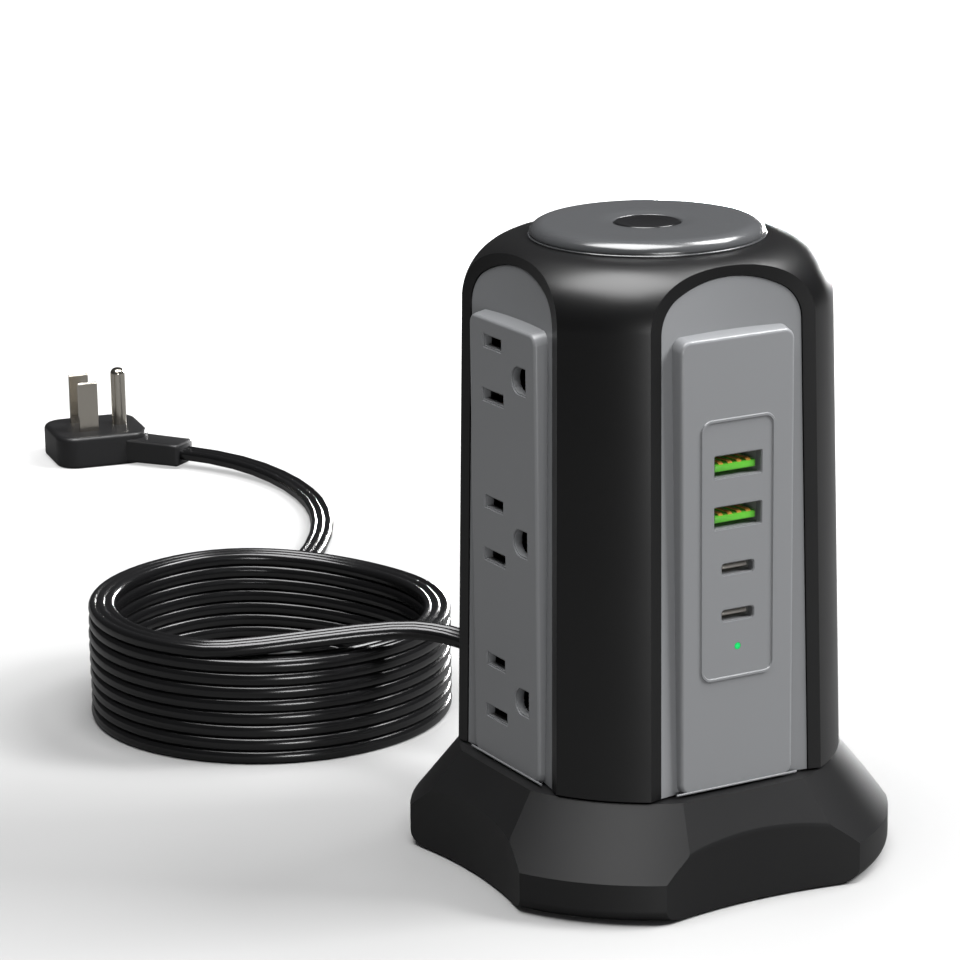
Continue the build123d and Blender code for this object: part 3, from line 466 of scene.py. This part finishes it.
crown_height = CROWN_TOP - CROWN_ROUND
crown_reach = (
    BODY_RADIUS - BODY_LOSS * (crown_height - MIDDLE) - CROWN_ROUND / math.cos(math.atan(BODY_LOSS))
)
BODY_SKINS = [
    spun_line(BODY_RADIUS, MIDDLE, BODY_LOSS), spun_arc(crown_reach, crown_height, CROWN_ROUND),
    *dish_skins(0), *dish_skins(BEZEL_EXTRA),
]
slant = (FOOT_RADIUS - FOOT_TOP_RADIUS) / (FOOT_TOP - FOOT_SHOULDER)
half_corner = (math.pi / 2 - math.atan(1 / slant)) / 2
FOOT_SKINS = [
    round_skin((0, 0, 0), UP, FOOT_RADIUS),
    spun_line(FOOT_RADIUS, FOOT_SHOULDER, slant),
    spun_arc(FOOT_RADIUS - FOOT_ROUND, FOOT_SHOULDER - FOOT_ROUND * math.tan(half_corner), FOOT_ROUND),
    *[round_skin(w * SCOOP_AWAY, UP, SCOOP_RADIUS) for w in WAYS],
]
PANEL_SKINS = dish_skins(PANEL_EXTRA)
print(len(BODY_SKINS) + len(FOOT_SKINS) + len(PANEL_SKINS), "known curved faces")


# %% Give every corner the normal of the true surface
SKIN_GAP, SKIN_COSINE = 0.012, 0.97  # how near a face lies to its surface: millimetres, and a cosine
LARGE_FLAT = 5.0  # square millimetres
FACING_STEPS, PLACE_STEPS = 300, 12  # how finely flats are told apart
CREASE, TANGENT = math.cos(math.radians(24.0)), math.cos(math.radians(11.0))


def true_normals(mesh, skins):
    """A corner on a known curved face takes that face's own normal, and one on a large flat takes
    the flat's. On small roundings it takes the nearest of those that meet it smoothly, and
    otherwise the average of the small faces about it, weighted by area."""
    spot, corner = np.zeros(len(mesh.vertices) * 3), np.zeros(len(mesh.loops), int)
    mesh.vertices.foreach_get("co", spot)
    mesh.loops.foreach_get("vertex_index", corner)
    spot, corner = spot.reshape(-1, 3) / MM, corner.reshape(-1, 3)
    a, b, c = (spot[corner[:, k]] for k in range(3))
    cross = np.cross(b - a, c - a)
    twice = np.linalg.norm(cross, axis=1) + 1e-15
    face = cross / twice[:, None]
    wanted = np.repeat(face[:, None], 3, axis=1)
    known = np.zeros(len(face), bool)
    for skin in skins:
        off, normal = skin(spot)
        tilt = (normal[corner] * face[:, None]).sum(-1)
        on = (np.abs(off) < SKIN_GAP)[corner].all(1) & (np.abs(tilt) > SKIN_COSINE).all(1) & ~known
        wanted[on] = normal[corner[on]] * np.sign(tilt[on])[..., None]
        known |= on
    plane = np.column_stack([face * FACING_STEPS, (face * a).sum(1) * PLACE_STEPS])
    _, group = np.unique(np.round(plane).astype(int), axis=0, return_inverse=True)
    group = group.ravel()
    known |= np.bincount(group, twice / 2)[group] > LARGE_FLAT
    about = [[] for _ in spot]
    for k, corners in enumerate(corner):
        for j, v in enumerate(corners):
            about[v].append((k, j))
    for k in np.flatnonzero(~known):
        for j, v in enumerate(corner[k]):
            others = [(n, m) for n, m in about[v] if face[n] @ face[k] > CREASE]
            sure = [wanted[n, m] for n, m in others if known[n]]
            fixed = [normal for normal in sure if normal @ face[k] > TANGENT]
            if fixed:
                wanted[k, j] = max(fixed, key=lambda normal: normal @ face[k])
            else:
                total = sum(face[n] * twice[n] for n, _ in others if not known[n])
                wanted[k, j] = total / np.linalg.norm(total)
    mesh.normals_split_custom_set(wanted.reshape(-1, 3).tolist())
    return int(known.sum())


# %% Copy the shells
CAD_SAME_PLACE, CAD_NO_LENGTH = 2e-6, 1e-7  # metres


def smooth_copy(node, name, skins):
    """A copy of a node's mesh with its loose triangles joined up and true normals at every corner.
    The shape is the node's own; only the way that it takes the light is new."""
    mesh = nodes[node].data.copy()
    mesh.materials.clear()
    work = bmesh.new()
    work.from_mesh(mesh)
    bmesh.ops.remove_doubles(work, verts=work.verts, dist=CAD_SAME_PLACE)
    bmesh.ops.dissolve_degenerate(work, dist=CAD_NO_LENGTH, edges=work.edges)
    bmesh.ops.triangulate(work, faces=work.faces)
    work.to_mesh(mesh)
    work.free()
    mesh.shade_smooth()
    sure = true_normals(mesh, skins)
    piece = link(name, mesh)
    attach(piece, "tower")
    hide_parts(node)
    print(f"  {name}: {sure} of {len(mesh.polygons)} faces lie on a known surface")
    return piece


tower_body = smooth_copy("body_shell", "tower_body", BODY_SKINS)
splayed_foot = smooth_copy("base_housing", "splayed_foot", FOOT_SKINS)
usb_face = smooth_copy("usb_panel", "usb_face", PANEL_SKINS)
outlet_faces = [
    smooth_copy("outlet_panel_" + side, "outlet_face_" + side, PANEL_SKINS)
    for side in SIDES
]
print("smooth copies:", 3 + len(outlet_faces))

# %% [markdown]
# ## The button's spring
# Under the button sits a small coil spring that closes up when the button goes down. A fixed node
# can't shorten, so the spring is wound again here: a wire's round section carried along a helix.


# %% Wind the spring
def wound_spring(name, radius, wire, turns, low, high, around=12, per_turn=36):
    """A wire's circle carried along a helix. The wire's middle stands radius from the upright axis
    and climbs evenly from low to high in the given turns; each ring of points stands in the plane
    of the axis: outwards by radius plus wire times cosine, and up by wire times sine."""
    turn = np.linspace(0, 2 * np.pi * turns, turns * per_turn + 1)[:, None]
    climb = np.linspace(low, high, turns * per_turn + 1)[:, None]
    angle = np.linspace(0, 2 * np.pi, around, endpoint=False)[None, :]
    out = radius + wire * np.cos(angle)
    points = np.stack([out * np.cos(turn), out * np.sin(turn), climb + wire * np.sin(angle)], axis=-1)
    return surface(name, points)


SPRING_RADIUS, SPRING_WIRE_RADIUS, SPRING_TURNS = 5.4 * MM, 0.45 * MM, 5
spring_low, spring_high = (corner[2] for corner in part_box("button_spring"))
button_coil = wound_spring(
    "button_coil", SPRING_RADIUS, SPRING_WIRE_RADIUS, SPRING_TURNS,
    spring_low + SPRING_WIRE_RADIUS, spring_high - SPRING_WIRE_RADIUS,
)
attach(button_coil, "tower")
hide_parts("button_spring")
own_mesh(button_coil)
print("spring", round((spring_high - spring_low) / MM, 2), "mm long at rest")

# %% [markdown]
# ## A fine bar under each panel
# Each raised front ends in a fine rounded step where it meets the foot, and that step catches a thin
# line of light. It is a small rounded square carried along a straight line, four times over, and the
# four are joined into one mesh because they are one finish.


# %% The sills
SILL_AWAY, SILL_HEIGHT, SILL_HALF, SILL_SIZE, SILL_CORNER = 38.72, 25.72, 16.2, 0.5, 0.2


def panel_sills():
    """A fine rounded bar along the bottom of each raised front, where the panel meets the foot."""
    outline = rounded_oblong(SILL_SIZE, SILL_SIZE, SILL_CORNER, 5)
    parts = []
    for way in WAYS:
        along = np.array([-way[1], way[0], 0])
        middle = way * SILL_AWAY + np.array([0, 0, SILL_HEIGHT])
        line = middle + np.linspace(-SILL_HALF, SILL_HALF, 9)[:, None] * along
        parts.append(swept("sill", line * MM, outline, crease=40))
    return merged("panel_sills", parts)


def merged(name, pieces):
    """Several loose pieces as one mesh."""
    work = bmesh.new()
    for piece in pieces:
        work.from_mesh(piece.data)
        bpy.data.objects.remove(piece)
    mesh = bpy.data.meshes.new(name)
    work.to_mesh(mesh)
    work.free()
    mesh.shade_smooth()
    mesh.set_sharp_from_angle(angle=math.radians(35))
    return link(name, mesh)


sills = panel_sills()
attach(sills, "tower")
print("sills", len(sills.data.polygons), "faces")

# %% [markdown]
# ## The disc and the button on top
# Both are round, so each is one profile of radius and height spun about the tower's axis. The disc's
# rim rolls over in a quarter ellipse, which is what catches the long bright line of light; below it a
# narrow groove and a thin lip meet the dome. The button is a shallow bowl with a ring pressed into it
# and a fine chamfer.

# %% Spin the disc
collar = [(11.0, 141.5), (13.2, 141.5), (13.2, 147.2)]
thin_lip = [(27.25, 147.2), (27.4, 147.32), (27.4, 147.55), (27.3, 147.65)]
groove = [(26.9, 147.66), (26.9, 147.92), (27.08, 147.95)]
rolled_rim = arc((23.4, 147.95), (3.7, 2.55), 2, 90, 30)
flat_top = [(19, 150.5), (15, 150.5)]
dish = [(11.6, 150.5), (11.2, 150.49), (10.6, 150.44), (9.6, 150.3), (8.7, 150.19), (8.3, 150.16)]
hole = [(8.05, 150.05), (7.86, 149.85), (7.8, 149.6), (7.8, 148.1), (11.0, 148.1)]
disc_profile = np.vstack([collar, thin_lip, groove, rolled_rim, flat_top, dish, hole])
top_plate = spun("top_plate", disc_profile, around=200, crease=32, closed=True)
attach(top_plate, "tower")
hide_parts("top_disc")
print("top plate", len(top_plate.data.polygons), "faces")

# %% Spin the button
BOWL_RADIUS, BOWL_BOTTOM, BOWL_DEPTH = 6.7, 149.82, 0.36
RING_RADIUS, RING_WIDTH, DENT_DEPTH = 4.5, 0.16, 0.07
out = np.linspace(0, BOWL_RADIUS, 60)
ring_dent = DENT_DEPTH * np.exp(-(((out - RING_RADIUS) / RING_WIDTH) ** 2))
bowl = np.column_stack([out, BOWL_BOTTOM + BOWL_DEPTH * (out / BOWL_RADIUS) ** 2 - ring_dent])
chamfer = [(6.95, 150.2), (7.2, 150.2), (7.42, 150.12), (7.55, 149.98), (7.6, 149.8)]
skirt = [(7.6, 147.95), (9.0, 147.95), (9.0, 146.95), (6.4, 146.95), (6.4, 147.0)]
stem = [(3.0, 147.0), (3.0, 143.0), (0, 143.0)]
button_profile = np.vstack([bowl, chamfer, skirt, stem])
push_button = spun("push_button", button_profile, around=120, crease=28)
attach(push_button, "button")
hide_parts("power_button")
print("button", len(push_button.data.polygons), "faces")

# %% [markdown]
# ## Inside the USB sockets
# A larger socket shows a moulded tongue with four sprung contacts along its top; each contact lies
# along the tongue and dips over its front edge. The smaller sockets have a thin tongue with a metal
# plate. A tongue is a rounded oblong swept towards the face, and a contact is a thin strip that
# follows the same line and drops at its end.

# %% Tongues and contacts
USB_A, USB_C = (101.2, 89.35), (77.2, 66.3)
FACE = 38.7  # the raised panel face, from the tower's axis
TONGUE_ROOT = 13.1  # where each tongue starts, behind the face


def out_of_the_face(depths, height):
    """A straight path towards the USB face at the given depths behind it."""
    depths = np.asarray(depths, float)
    return np.column_stack([0 * depths, -(FACE - depths), 0 * depths + height]) * MM


def tongue(name, width, height, drop, front, levels, corner):
    """A rounded oblong swept towards the face at each level, trimmed at its front edge."""
    steps = [TONGUE_ROOT, front + 0.5, front + 0.15, front]
    trim = (0, 0, 0.12, 0.3)
    rims = np.stack([rounded_oblong(width - 2 * k, height - 2 * k, corner, 4) for k in trim])
    return merged(name, [
        swept(name, out_of_the_face(steps, level - drop), rims) for level in levels
    ])


def contact_strips(name, pitch, width, top, levels):
    """Each strip's line rises a little along the tongue, then drops over its front edge."""
    depth = np.array([12.0, 6.0, 3.2, 2.4, 2.0, 1.7, 1.45])
    lift = np.array([0.08, 0.1, 0.3, 0.34, 0.24, 0.08, -0.16])
    strip = rounded_oblong(width, 0.14, 0.05, 3)
    parts = []
    for level in levels:
        for place in (np.arange(4) - 1.5) * pitch:
            line = out_of_the_face(depth, 0)
            line[:, 0] += place * MM
            line[:, 2] += (level + top + lift) * MM
            parts.append(swept(name, line, strip))
    return merged(name, parts)


large_tongues = tongue("socket_tongues_large", 11.0, 1.8, 0.62, 1.2, USB_A, 0.3)
contacts = contact_strips("socket_contacts", 2.45, 1.15, 0.30, USB_A)
small_tongues = tongue("socket_tongues_small", 6.7, 1.0, -0.1, 1.3, USB_C, 0.2)
for piece, stands_for, slot in (
    (large_tongues, "usb_a_tongues", "tongue_green"),
    (contacts, "usb_a_contacts", "contact_gold"),
    (small_tongues, "usb_c_tongues", "tongue_dark"),
):
    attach(piece, "tower")
    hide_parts(stands_for)
    print("socket piece", piece.name)

# %% [markdown]
# ## A shared effect as a node group
# Moulded plastic is never perfectly even: it has a very fine spark-eroded grain and a slow drift of
# gloss where the melt cooled. Both come from one shader node group, made once and placed in every
# material with that material's own values. The group puts out masks only; every shader stays in its
# own material.


# %% Node group helpers
def new_group(name, inputs, outputs):
    """A node group with number sockets, and its two end nodes."""
    group = bpy.data.node_groups.new(name, "ShaderNodeTree")
    for label, value in inputs:
        socket = group.interface.new_socket(label, in_out="INPUT", socket_type="NodeSocketFloat")
        socket.default_value = value
    for label in outputs:
        group.interface.new_socket(label, in_out="OUTPUT", socket_type="NodeSocketFloat")
    return group, group.nodes.new("NodeGroupInput"), group.nodes.new("NodeGroupOutput")


def node(tree, kind, **values):
    """A new node; each value goes to the property or the input socket of that name."""
    made = tree.nodes.new(kind)
    for key, value in values.items():
        if hasattr(made, key):
            setattr(made, key, value)
        else:
            made.inputs[key.replace("_", " ")].default_value = value
    return made


def scaled_noise(tree, place, scale_socket, detail, roughness):
    """Noise on the object's own coordinates whose scale comes from a socket of the group."""
    noise = node(tree, "ShaderNodeTexNoise", Detail=detail, Roughness=roughness)
    tree.links.new(place.outputs["Object"], noise.inputs["Vector"])
    tree.links.new(scale_socket, noise.inputs["Scale"])
    return noise


def make_grain_group():
    """Moulded grain: fine noise for height, and slow noise for the drift of gloss."""
    scales = [("Grain scale", 9000), ("Drift scale", 30)]
    group, given, result = new_group("moulded_grain", scales, ["Grain", "Drift"])
    place = node(group, "ShaderNodeTexCoord")
    fine = scaled_noise(group, place, given.outputs["Grain scale"], 2.0, 0.6)
    slow = scaled_noise(group, place, given.outputs["Drift scale"], 3.0, 0.5)
    group.links.new(fine.outputs["Fac"], result.inputs["Grain"])
    group.links.new(slow.outputs["Fac"], result.inputs["Drift"])
    return group


grain_group = make_grain_group()
print("groups", [g.name for g in bpy.data.node_groups])

# %% [markdown]
# ## One recipe for moulded plastics and rubber
# A Principled shader has a socket for each thing a plastic does. What is the same all over is typed
# into the socket. What changes over the surface comes from the group: colour drifts between two near
# tones, roughness follows the drift, and a Bump node turns the grain into relief.


# %% Moulded material
GRAIN_DEPTH = 0.00002  # metres


def grouped(tree, group, **values):
    """A node group placed in a material, with that material's own values."""
    placed = tree.nodes.new("ShaderNodeGroup")
    placed.node_tree = group
    for key, value in values.items():
        placed.inputs[key.replace("_", " ")].default_value = value
    return placed


def blend(tree, factor, low, high):
    """A colour that runs from low to high as the factor goes from 0 to 1."""
    mix = node(tree, "ShaderNodeMix", data_type="RGBA")
    tree.links.new(factor, mix.inputs["Factor"])
    mix.inputs["A"].default_value = (*low, 1)
    mix.inputs["B"].default_value = (*high, 1)
    return mix


def span(tree, factor, low, high, start=0.15, stop=0.85):
    """Maps a factor between start and stop onto the range from low to high."""
    ramp = node(tree, "ShaderNodeMapRange")
    for label, value in (("From Min", start), ("From Max", stop), ("To Min", low), ("To Max", high)):
        ramp.inputs[label].default_value = value
    tree.links.new(factor, ramp.inputs["Value"])
    return ramp


def moulded(name, tone, rough, grain=9000.0, relief=0.15, drift=40.0, vary=0.08, **sockets):
    """A moulded plastic or rubber. Tone is the middle colour; vary is how far the colour and the
    gloss drift from it; relief is the strength of the grain."""
    material = bpy.data.materials.new(name)
    material.use_nodes = True
    tree = material.node_tree
    shader = tree.nodes["Principled BSDF"]
    for key, value in sockets.items():
        shader.inputs[key.replace("_", " ")].default_value = value
    surface_of = grouped(tree, grain_group, Grain_scale=grain, Drift_scale=drift)
    less, more = 1 - vary, 1 + vary
    colour = blend(
        tree, surface_of.outputs["Drift"], [c * less for c in tone], [c * more for c in tone])
    gloss = span(tree, surface_of.outputs["Drift"], rough * less, rough * more)
    bump = node(tree, "ShaderNodeBump", Strength=relief, Distance=GRAIN_DEPTH)
    tree.links.new(surface_of.outputs["Grain"], bump.inputs["Height"])
    tree.links.new(colour.outputs[2], shader.inputs["Base Color"])
    tree.links.new(gloss.outputs["Result"], shader.inputs["Roughness"])
    tree.links.new(bump.outputs["Normal"], shader.inputs["Normal"])
    return material


BLACK_BODY = moulded(
    "satin_black", (0.0032, 0.0032, 0.0034), 0.34, relief=0.22, Specular_IOR_Level=0.42)
BLACK_FOOT = moulded(
    "matt_black", (0.0065, 0.0065, 0.0068), 0.46, relief=0.30, grain=6000.0, Specular_IOR_Level=0.32)
GREY_PANEL = moulded(
    "satin_grey", (0.168, 0.172, 0.178), 0.30, relief=0.08, vary=0.015, Specular_IOR_Level=0.5)
# Painted shade: the disc's grey is set nearly four times darker than the panels' grey, to offset the
# strong light that falls on the top.
DISC_GREY_SHADED = moulded(
    "disc_grey", (0.045, 0.0463, 0.0485), 0.21, relief=0.06, vary=0.015, Specular_IOR_Level=0.85)
GLOSS_BUTTON = moulded(
    "gloss_black", (0.006, 0.006, 0.0065), 0.16, relief=0.03, Specular_IOR_Level=0.5)
BLACK_CORD = moulded(
    "cord_sheath", (0.005, 0.005, 0.0053), 0.20, relief=0.05, grain=4000.0, Specular_IOR_Level=0.5)
BLACK_PLUG = moulded(
    "plug_black", (0.010, 0.010, 0.0105), 0.38, relief=0.25, grain=5000.0, Specular_IOR_Level=0.45)
GREEN_TONGUE = moulded("socket_green", (0.10, 0.42, 0.035), 0.38, relief=0.05, vary=0.10)
FOOT_RUBBER = moulded("foot_rubber", (0.020, 0.020, 0.020), 0.75, relief=0.40, grain=3000.0)
WHITE_INNER = moulded("inner_white", (0.55, 0.55, 0.52), 0.45, relief=0.10)
BLACK_INNER = moulded("inner_black", (0.012, 0.012, 0.013), 0.50, relief=0.15)
RESET_RED = moulded("reset_red", (0.40, 0.02, 0.015), 0.35, relief=0.05)
print(len(bpy.data.materials), "materials so far")

# %% [markdown]
# ## Metals, the circuit boards and the lamp
# Stamped and plated strip is bright but not a mirror: fine lines run along it from rolling. A noise
# stretched along one axis by a Mapping node gives such lines. The lamp is the end of a clear light
# guide, so it glows: its emission is strongest in the middle.


# %% Rolled metal
ROLLING = (400, 400, 6000)  # lines across the height, so they run level


def rolled_metal(name, tone, rough, metallic=1.0):
    """Metal whose tone and gloss change from line to line of its rolling."""
    material = bpy.data.materials.new(name)
    material.use_nodes = True
    tree = material.node_tree
    shader = tree.nodes["Principled BSDF"]
    shader.inputs["Metallic"].default_value = metallic
    place = node(tree, "ShaderNodeTexCoord")
    stretch = node(tree, "ShaderNodeMapping", Scale=ROLLING)
    lines = node(tree, "ShaderNodeTexNoise", Scale=1.0, Detail=3.0)
    tree.links.new(place.outputs["Object"], stretch.inputs["Vector"])
    tree.links.new(stretch.outputs["Vector"], lines.inputs["Vector"])
    dark, bright = [c * 0.86 for c in tone], [min(1, c * 1.1) for c in tone]
    colour = blend(tree, lines.outputs["Fac"], dark, bright)
    gloss = span(tree, lines.outputs["Fac"], rough * 0.7, rough * 1.35)
    tree.links.new(colour.outputs[2], shader.inputs["Base Color"])
    tree.links.new(gloss.outputs["Result"], shader.inputs["Roughness"])
    return material


STEEL = rolled_metal("plated_steel", (0.56, 0.55, 0.52), 0.28)
SPRING_WIRE = rolled_metal("spring_wire", (0.60, 0.60, 0.60), 0.22)
BRASS = rolled_metal("spring_brass", (0.78, 0.57, 0.27), 0.26)
GOLD = rolled_metal("contact_gold", (0.95, 0.46, 0.10), 0.35, metallic=0.35)
SHELL = rolled_metal("socket_steel", (0.42, 0.43, 0.42), 0.38, metallic=0.45)
TONGUE_PLATE = rolled_metal("tongue_plate", (0.36, 0.34, 0.31), 0.42, metallic=0.4)
NICKEL = rolled_metal("nickel_plate", (0.66, 0.62, 0.55), 0.20)


# %% Circuit boards and the lamp
LACQUER, LACQUER_DARK, LACQUER_TRACK = (
    (0.012, 0.085, 0.030), (0.010, 0.070, 0.026), (0.030, 0.160, 0.060)
)
LAMP_PLACE = (0, -FACE * MM, 58.7 * MM)


def circuit_board(name):
    """Green solder mask over copper tracks: a brick pattern seen faintly through the lacquer."""
    material = moulded(name, LACQUER, 0.30, relief=0.05)
    tree = material.node_tree
    shader = tree.nodes["Principled BSDF"]
    place = node(tree, "ShaderNodeTexCoord")
    tracks = node(tree, "ShaderNodeTexBrick", Scale=260.0)
    for label, tone in (("Color1", LACQUER), ("Color2", LACQUER_DARK), ("Mortar", LACQUER_TRACK)):
        tracks.inputs[label].default_value = (*tone, 1)
    tree.links.new(place.outputs["Object"], tracks.inputs["Vector"])
    tree.links.new(tracks.outputs["Color"], shader.inputs["Base Color"])
    return material


def lamp(name, colour, strength):
    """The end of a light guide: brightness falls off with the distance from its middle."""
    material = moulded(name, colour, 0.25, relief=0.0)
    tree = material.node_tree
    shader = tree.nodes["Principled BSDF"]
    place = node(tree, "ShaderNodeTexCoord")
    centre = node(tree, "ShaderNodeMapping")
    centre.inputs["Location"].default_value = [-v for v in LAMP_PLACE]
    far = node(tree, "ShaderNodeVectorMath", operation="LENGTH")
    tree.links.new(place.outputs["Object"], centre.inputs["Vector"])
    tree.links.new(centre.outputs["Vector"], far.inputs[0])
    glow = span(tree, far.outputs["Value"], 1.0, 0.0, 0.1 * MM, 0.8 * MM)
    tint = blend(tree, glow.outputs["Result"], [c * 0.12 for c in colour], colour)
    tree.links.new(tint.outputs[2], shader.inputs["Emission Color"])
    shader.inputs["Emission Strength"].default_value = strength
    return material


BOARD = circuit_board("solder_mask")
LAMP = lamp("lamp_green", (0.005, 0.40, 0.09), 0.75)
FERRITE = moulded("ferrite", (0.030, 0.030, 0.033), 0.60, relief=0.4, grain=2500.0)
TAPE = moulded("winding_tape", (0.62, 0.42, 0.05), 0.40, relief=0.2)
SLEEVE_BLUE = moulded("capacitor_sleeve", (0.010, 0.015, 0.045), 0.25)
VARISTOR = moulded("varistor_dip", (0.015, 0.07, 0.25), 0.30, relief=0.2)
print(len(bpy.data.materials), "materials")

# %% [markdown]
# ## Every piece gets its finish
# A table says which finish each new piece and each carried-over node has. Only material slots are
# set: the nodes' own meshes are never touched.


# %% Dress the pieces
def dress(piece, material):
    """Gives a piece one finish in place of what it had."""
    piece.data.materials.clear()
    piece.data.materials.append(material)


FINISH = {
    tower_body: BLACK_BODY, splayed_foot: BLACK_FOOT, usb_face: GREY_PANEL, sills: GREY_PANEL,
    top_plate: DISC_GREY_SHADED, push_button: GLOSS_BUTTON, button_coil: SPRING_WIRE,
    mains_cord: BLACK_CORD, cord_sleeve: BLACK_CORD, plug_head: BLACK_PLUG, plug_neck: BLACK_PLUG,
    large_tongues: GREEN_TONGUE, contacts: GOLD, small_tongues: TONGUE_PLATE,
}
NODE_FINISH = {
    "base_cover": BLACK_FOOT, "rubber_feet": FOOT_RUBBER, "base_screws": STEEL, "frame_screws": STEEL,
    "switch_body": WHITE_INNER, "switch_plunger": BLACK_INNER, "inner_frame": BLACK_INNER,
    "surge_board": BOARD, "usb_board": BOARD, "usb_a_shells": SHELL, "usb_c_shells": SHELL,
    "status_led": LAMP, "breaker_body": BLACK_INNER,
    "breaker_reset_button": RESET_RED, "breaker_terminals": BRASS, "inner_leads": BLACK_CORD,
    "transformer_core": FERRITE, "transformer_winding": TAPE, "capacitors": SLEEVE_BLUE,
    "varistors": VARISTOR, "plug_blades": NICKEL, "plug_ground_pin": NICKEL,
}
for side in SIDES:
    NODE_FINISH["contact_tray_" + side] = BLACK_INNER
    for kind in ("line", "neutral", "ground"):
        NODE_FINISH[f"{kind}_rail_{side}"] = BRASS
for piece, material in FINISH.items():
    dress(piece, material)
for piece in outlet_faces:
    dress(piece, GREY_PANEL)
for name, material in NODE_FINISH.items():
    dress(nodes[name], material)
print("dressed", len(FINISH) + len(outlet_faces), "new pieces and", len(NODE_FINISH), "nodes")

# %% [markdown]
# ## Floor and light
# A pale seamless floor and five soft boxes, as for a catalogue. One overhead draws the line of light
# on every rounded top edge. The key light from the front right has no mirror image, because it would
# burn out the shoulder. A box high on the right lights the dome, a low one in front lifts the foot's
# facets, and a low wide one behind on the right draws the bright edge down the tower.


# %% Floor
FLOOR_HALF, FLOOR_LIT, FLOOR_SEEN, PAPER_GLOW = 12.0, (0.10,) * 3, (0.29,) * 3, (0.17, 0.65)


def studio_floor():
    """A wide matt sheet. To the camera it is paler than it is to the light it throws back, and it
    glows more with the distance from the tower, so that it fades into the backdrop."""
    mesh = bpy.data.meshes.new("studio_floor")
    corners = [(x * FLOOR_HALF, y * FLOOR_HALF, 0) for x, y in ((-1, -1), (1, -1), (1, 1), (-1, 1))]
    mesh.from_pydata(corners, [], [(0, 1, 2, 3)])
    floor = link("studio_floor", mesh)
    material = bpy.data.materials.new("floor_white")
    material.use_nodes = True
    tree = material.node_tree
    shader = tree.nodes["Principled BSDF"]
    shader.inputs["Roughness"].default_value = 0.9
    shader.inputs["Specular IOR Level"].default_value = 0.1
    seen = tree.nodes.new("ShaderNodeLightPath")
    tint = blend(tree, seen.outputs["Is Camera Ray"], FLOOR_LIT, FLOOR_SEEN)
    tree.links.new(tint.outputs[2], shader.inputs["Base Color"])
    place = node(tree, "ShaderNodeTexCoord")
    far = node(tree, "ShaderNodeVectorMath", operation="LENGTH")
    tree.links.new(place.outputs["Object"], far.inputs[0])
    paper = span(tree, far.outputs["Value"], 0.0, 1.0, *PAPER_GLOW)
    sight = node(tree, "ShaderNodeMath", operation="MULTIPLY")
    tree.links.new(paper.outputs["Result"], sight.inputs[0])
    tree.links.new(seen.outputs["Is Camera Ray"], sight.inputs[1])
    shader.inputs["Emission Color"].default_value = (1, 1, 1, 1)
    tree.links.new(sight.outputs[0], shader.inputs["Emission Strength"])
    mesh.materials.append(material)


studio_floor()
print("floor", 2 * FLOOR_HALF, "m wide")


# %% Soft boxes
def soft_box(name, place, target, size, power):
    """An oblong lamp that faces its target. The camera doesn't see it, but reflections do."""
    lamp_data = bpy.data.lights.new(name, "AREA")
    lamp_data.shape, lamp_data.energy = "RECTANGLE", power
    lamp_data.size, lamp_data.size_y = size
    box = bpy.data.objects.new(name, lamp_data)
    bpy.context.scene.collection.objects.link(box)
    way = Vector(target) - Vector(place)
    turned = way.to_track_quat("-Z", "Y").to_matrix().to_4x4()
    box.matrix_world = Matrix.Translation(place) @ turned
    box.visible_camera = False
    return box


overhead = soft_box("overhead", (-0.17, -0.03, 1.00), (0, 0, 0.05), (0.75, 0.70), 20.0)
key_right = soft_box("key_right", (0.87, -0.48, 0.84), (0, 0.02, 0.05), (0.45, 0.45), 29.0)
key_right.visible_glossy = False
right_high = soft_box("right_high", (0.60, -0.02, 0.95), (0, 0, 0.05), (0.45, 0.45), 11.0)
front_low = soft_box("front_low", (-0.28, -1.12, 0.06), (0, 0, 0.08), (0.45, 0.20), 7.0)
rear_right = soft_box("rear_right", (0.86, 0.92, 0.07), (0, 0, 0.08), (0.50, 0.13), 20.0)
print("lights", [box.name for box in (overhead, key_right, right_high, front_low, rear_right)])

# %% Surroundings
world = bpy.data.worlds.new("studio")
bpy.context.scene.world = world
world.use_nodes = True
sky = world.node_tree
back = sky.nodes["Background"]
seen = sky.nodes.new("ShaderNodeLightPath")
shade = blend(sky, seen.outputs["Is Camera Ray"], (0.045, 0.045, 0.046), (1, 1, 1))
sky.links.new(shade.outputs[2], back.inputs["Color"])
bpy.context.scene.view_settings.view_transform = "Standard"
print("world", world.name)
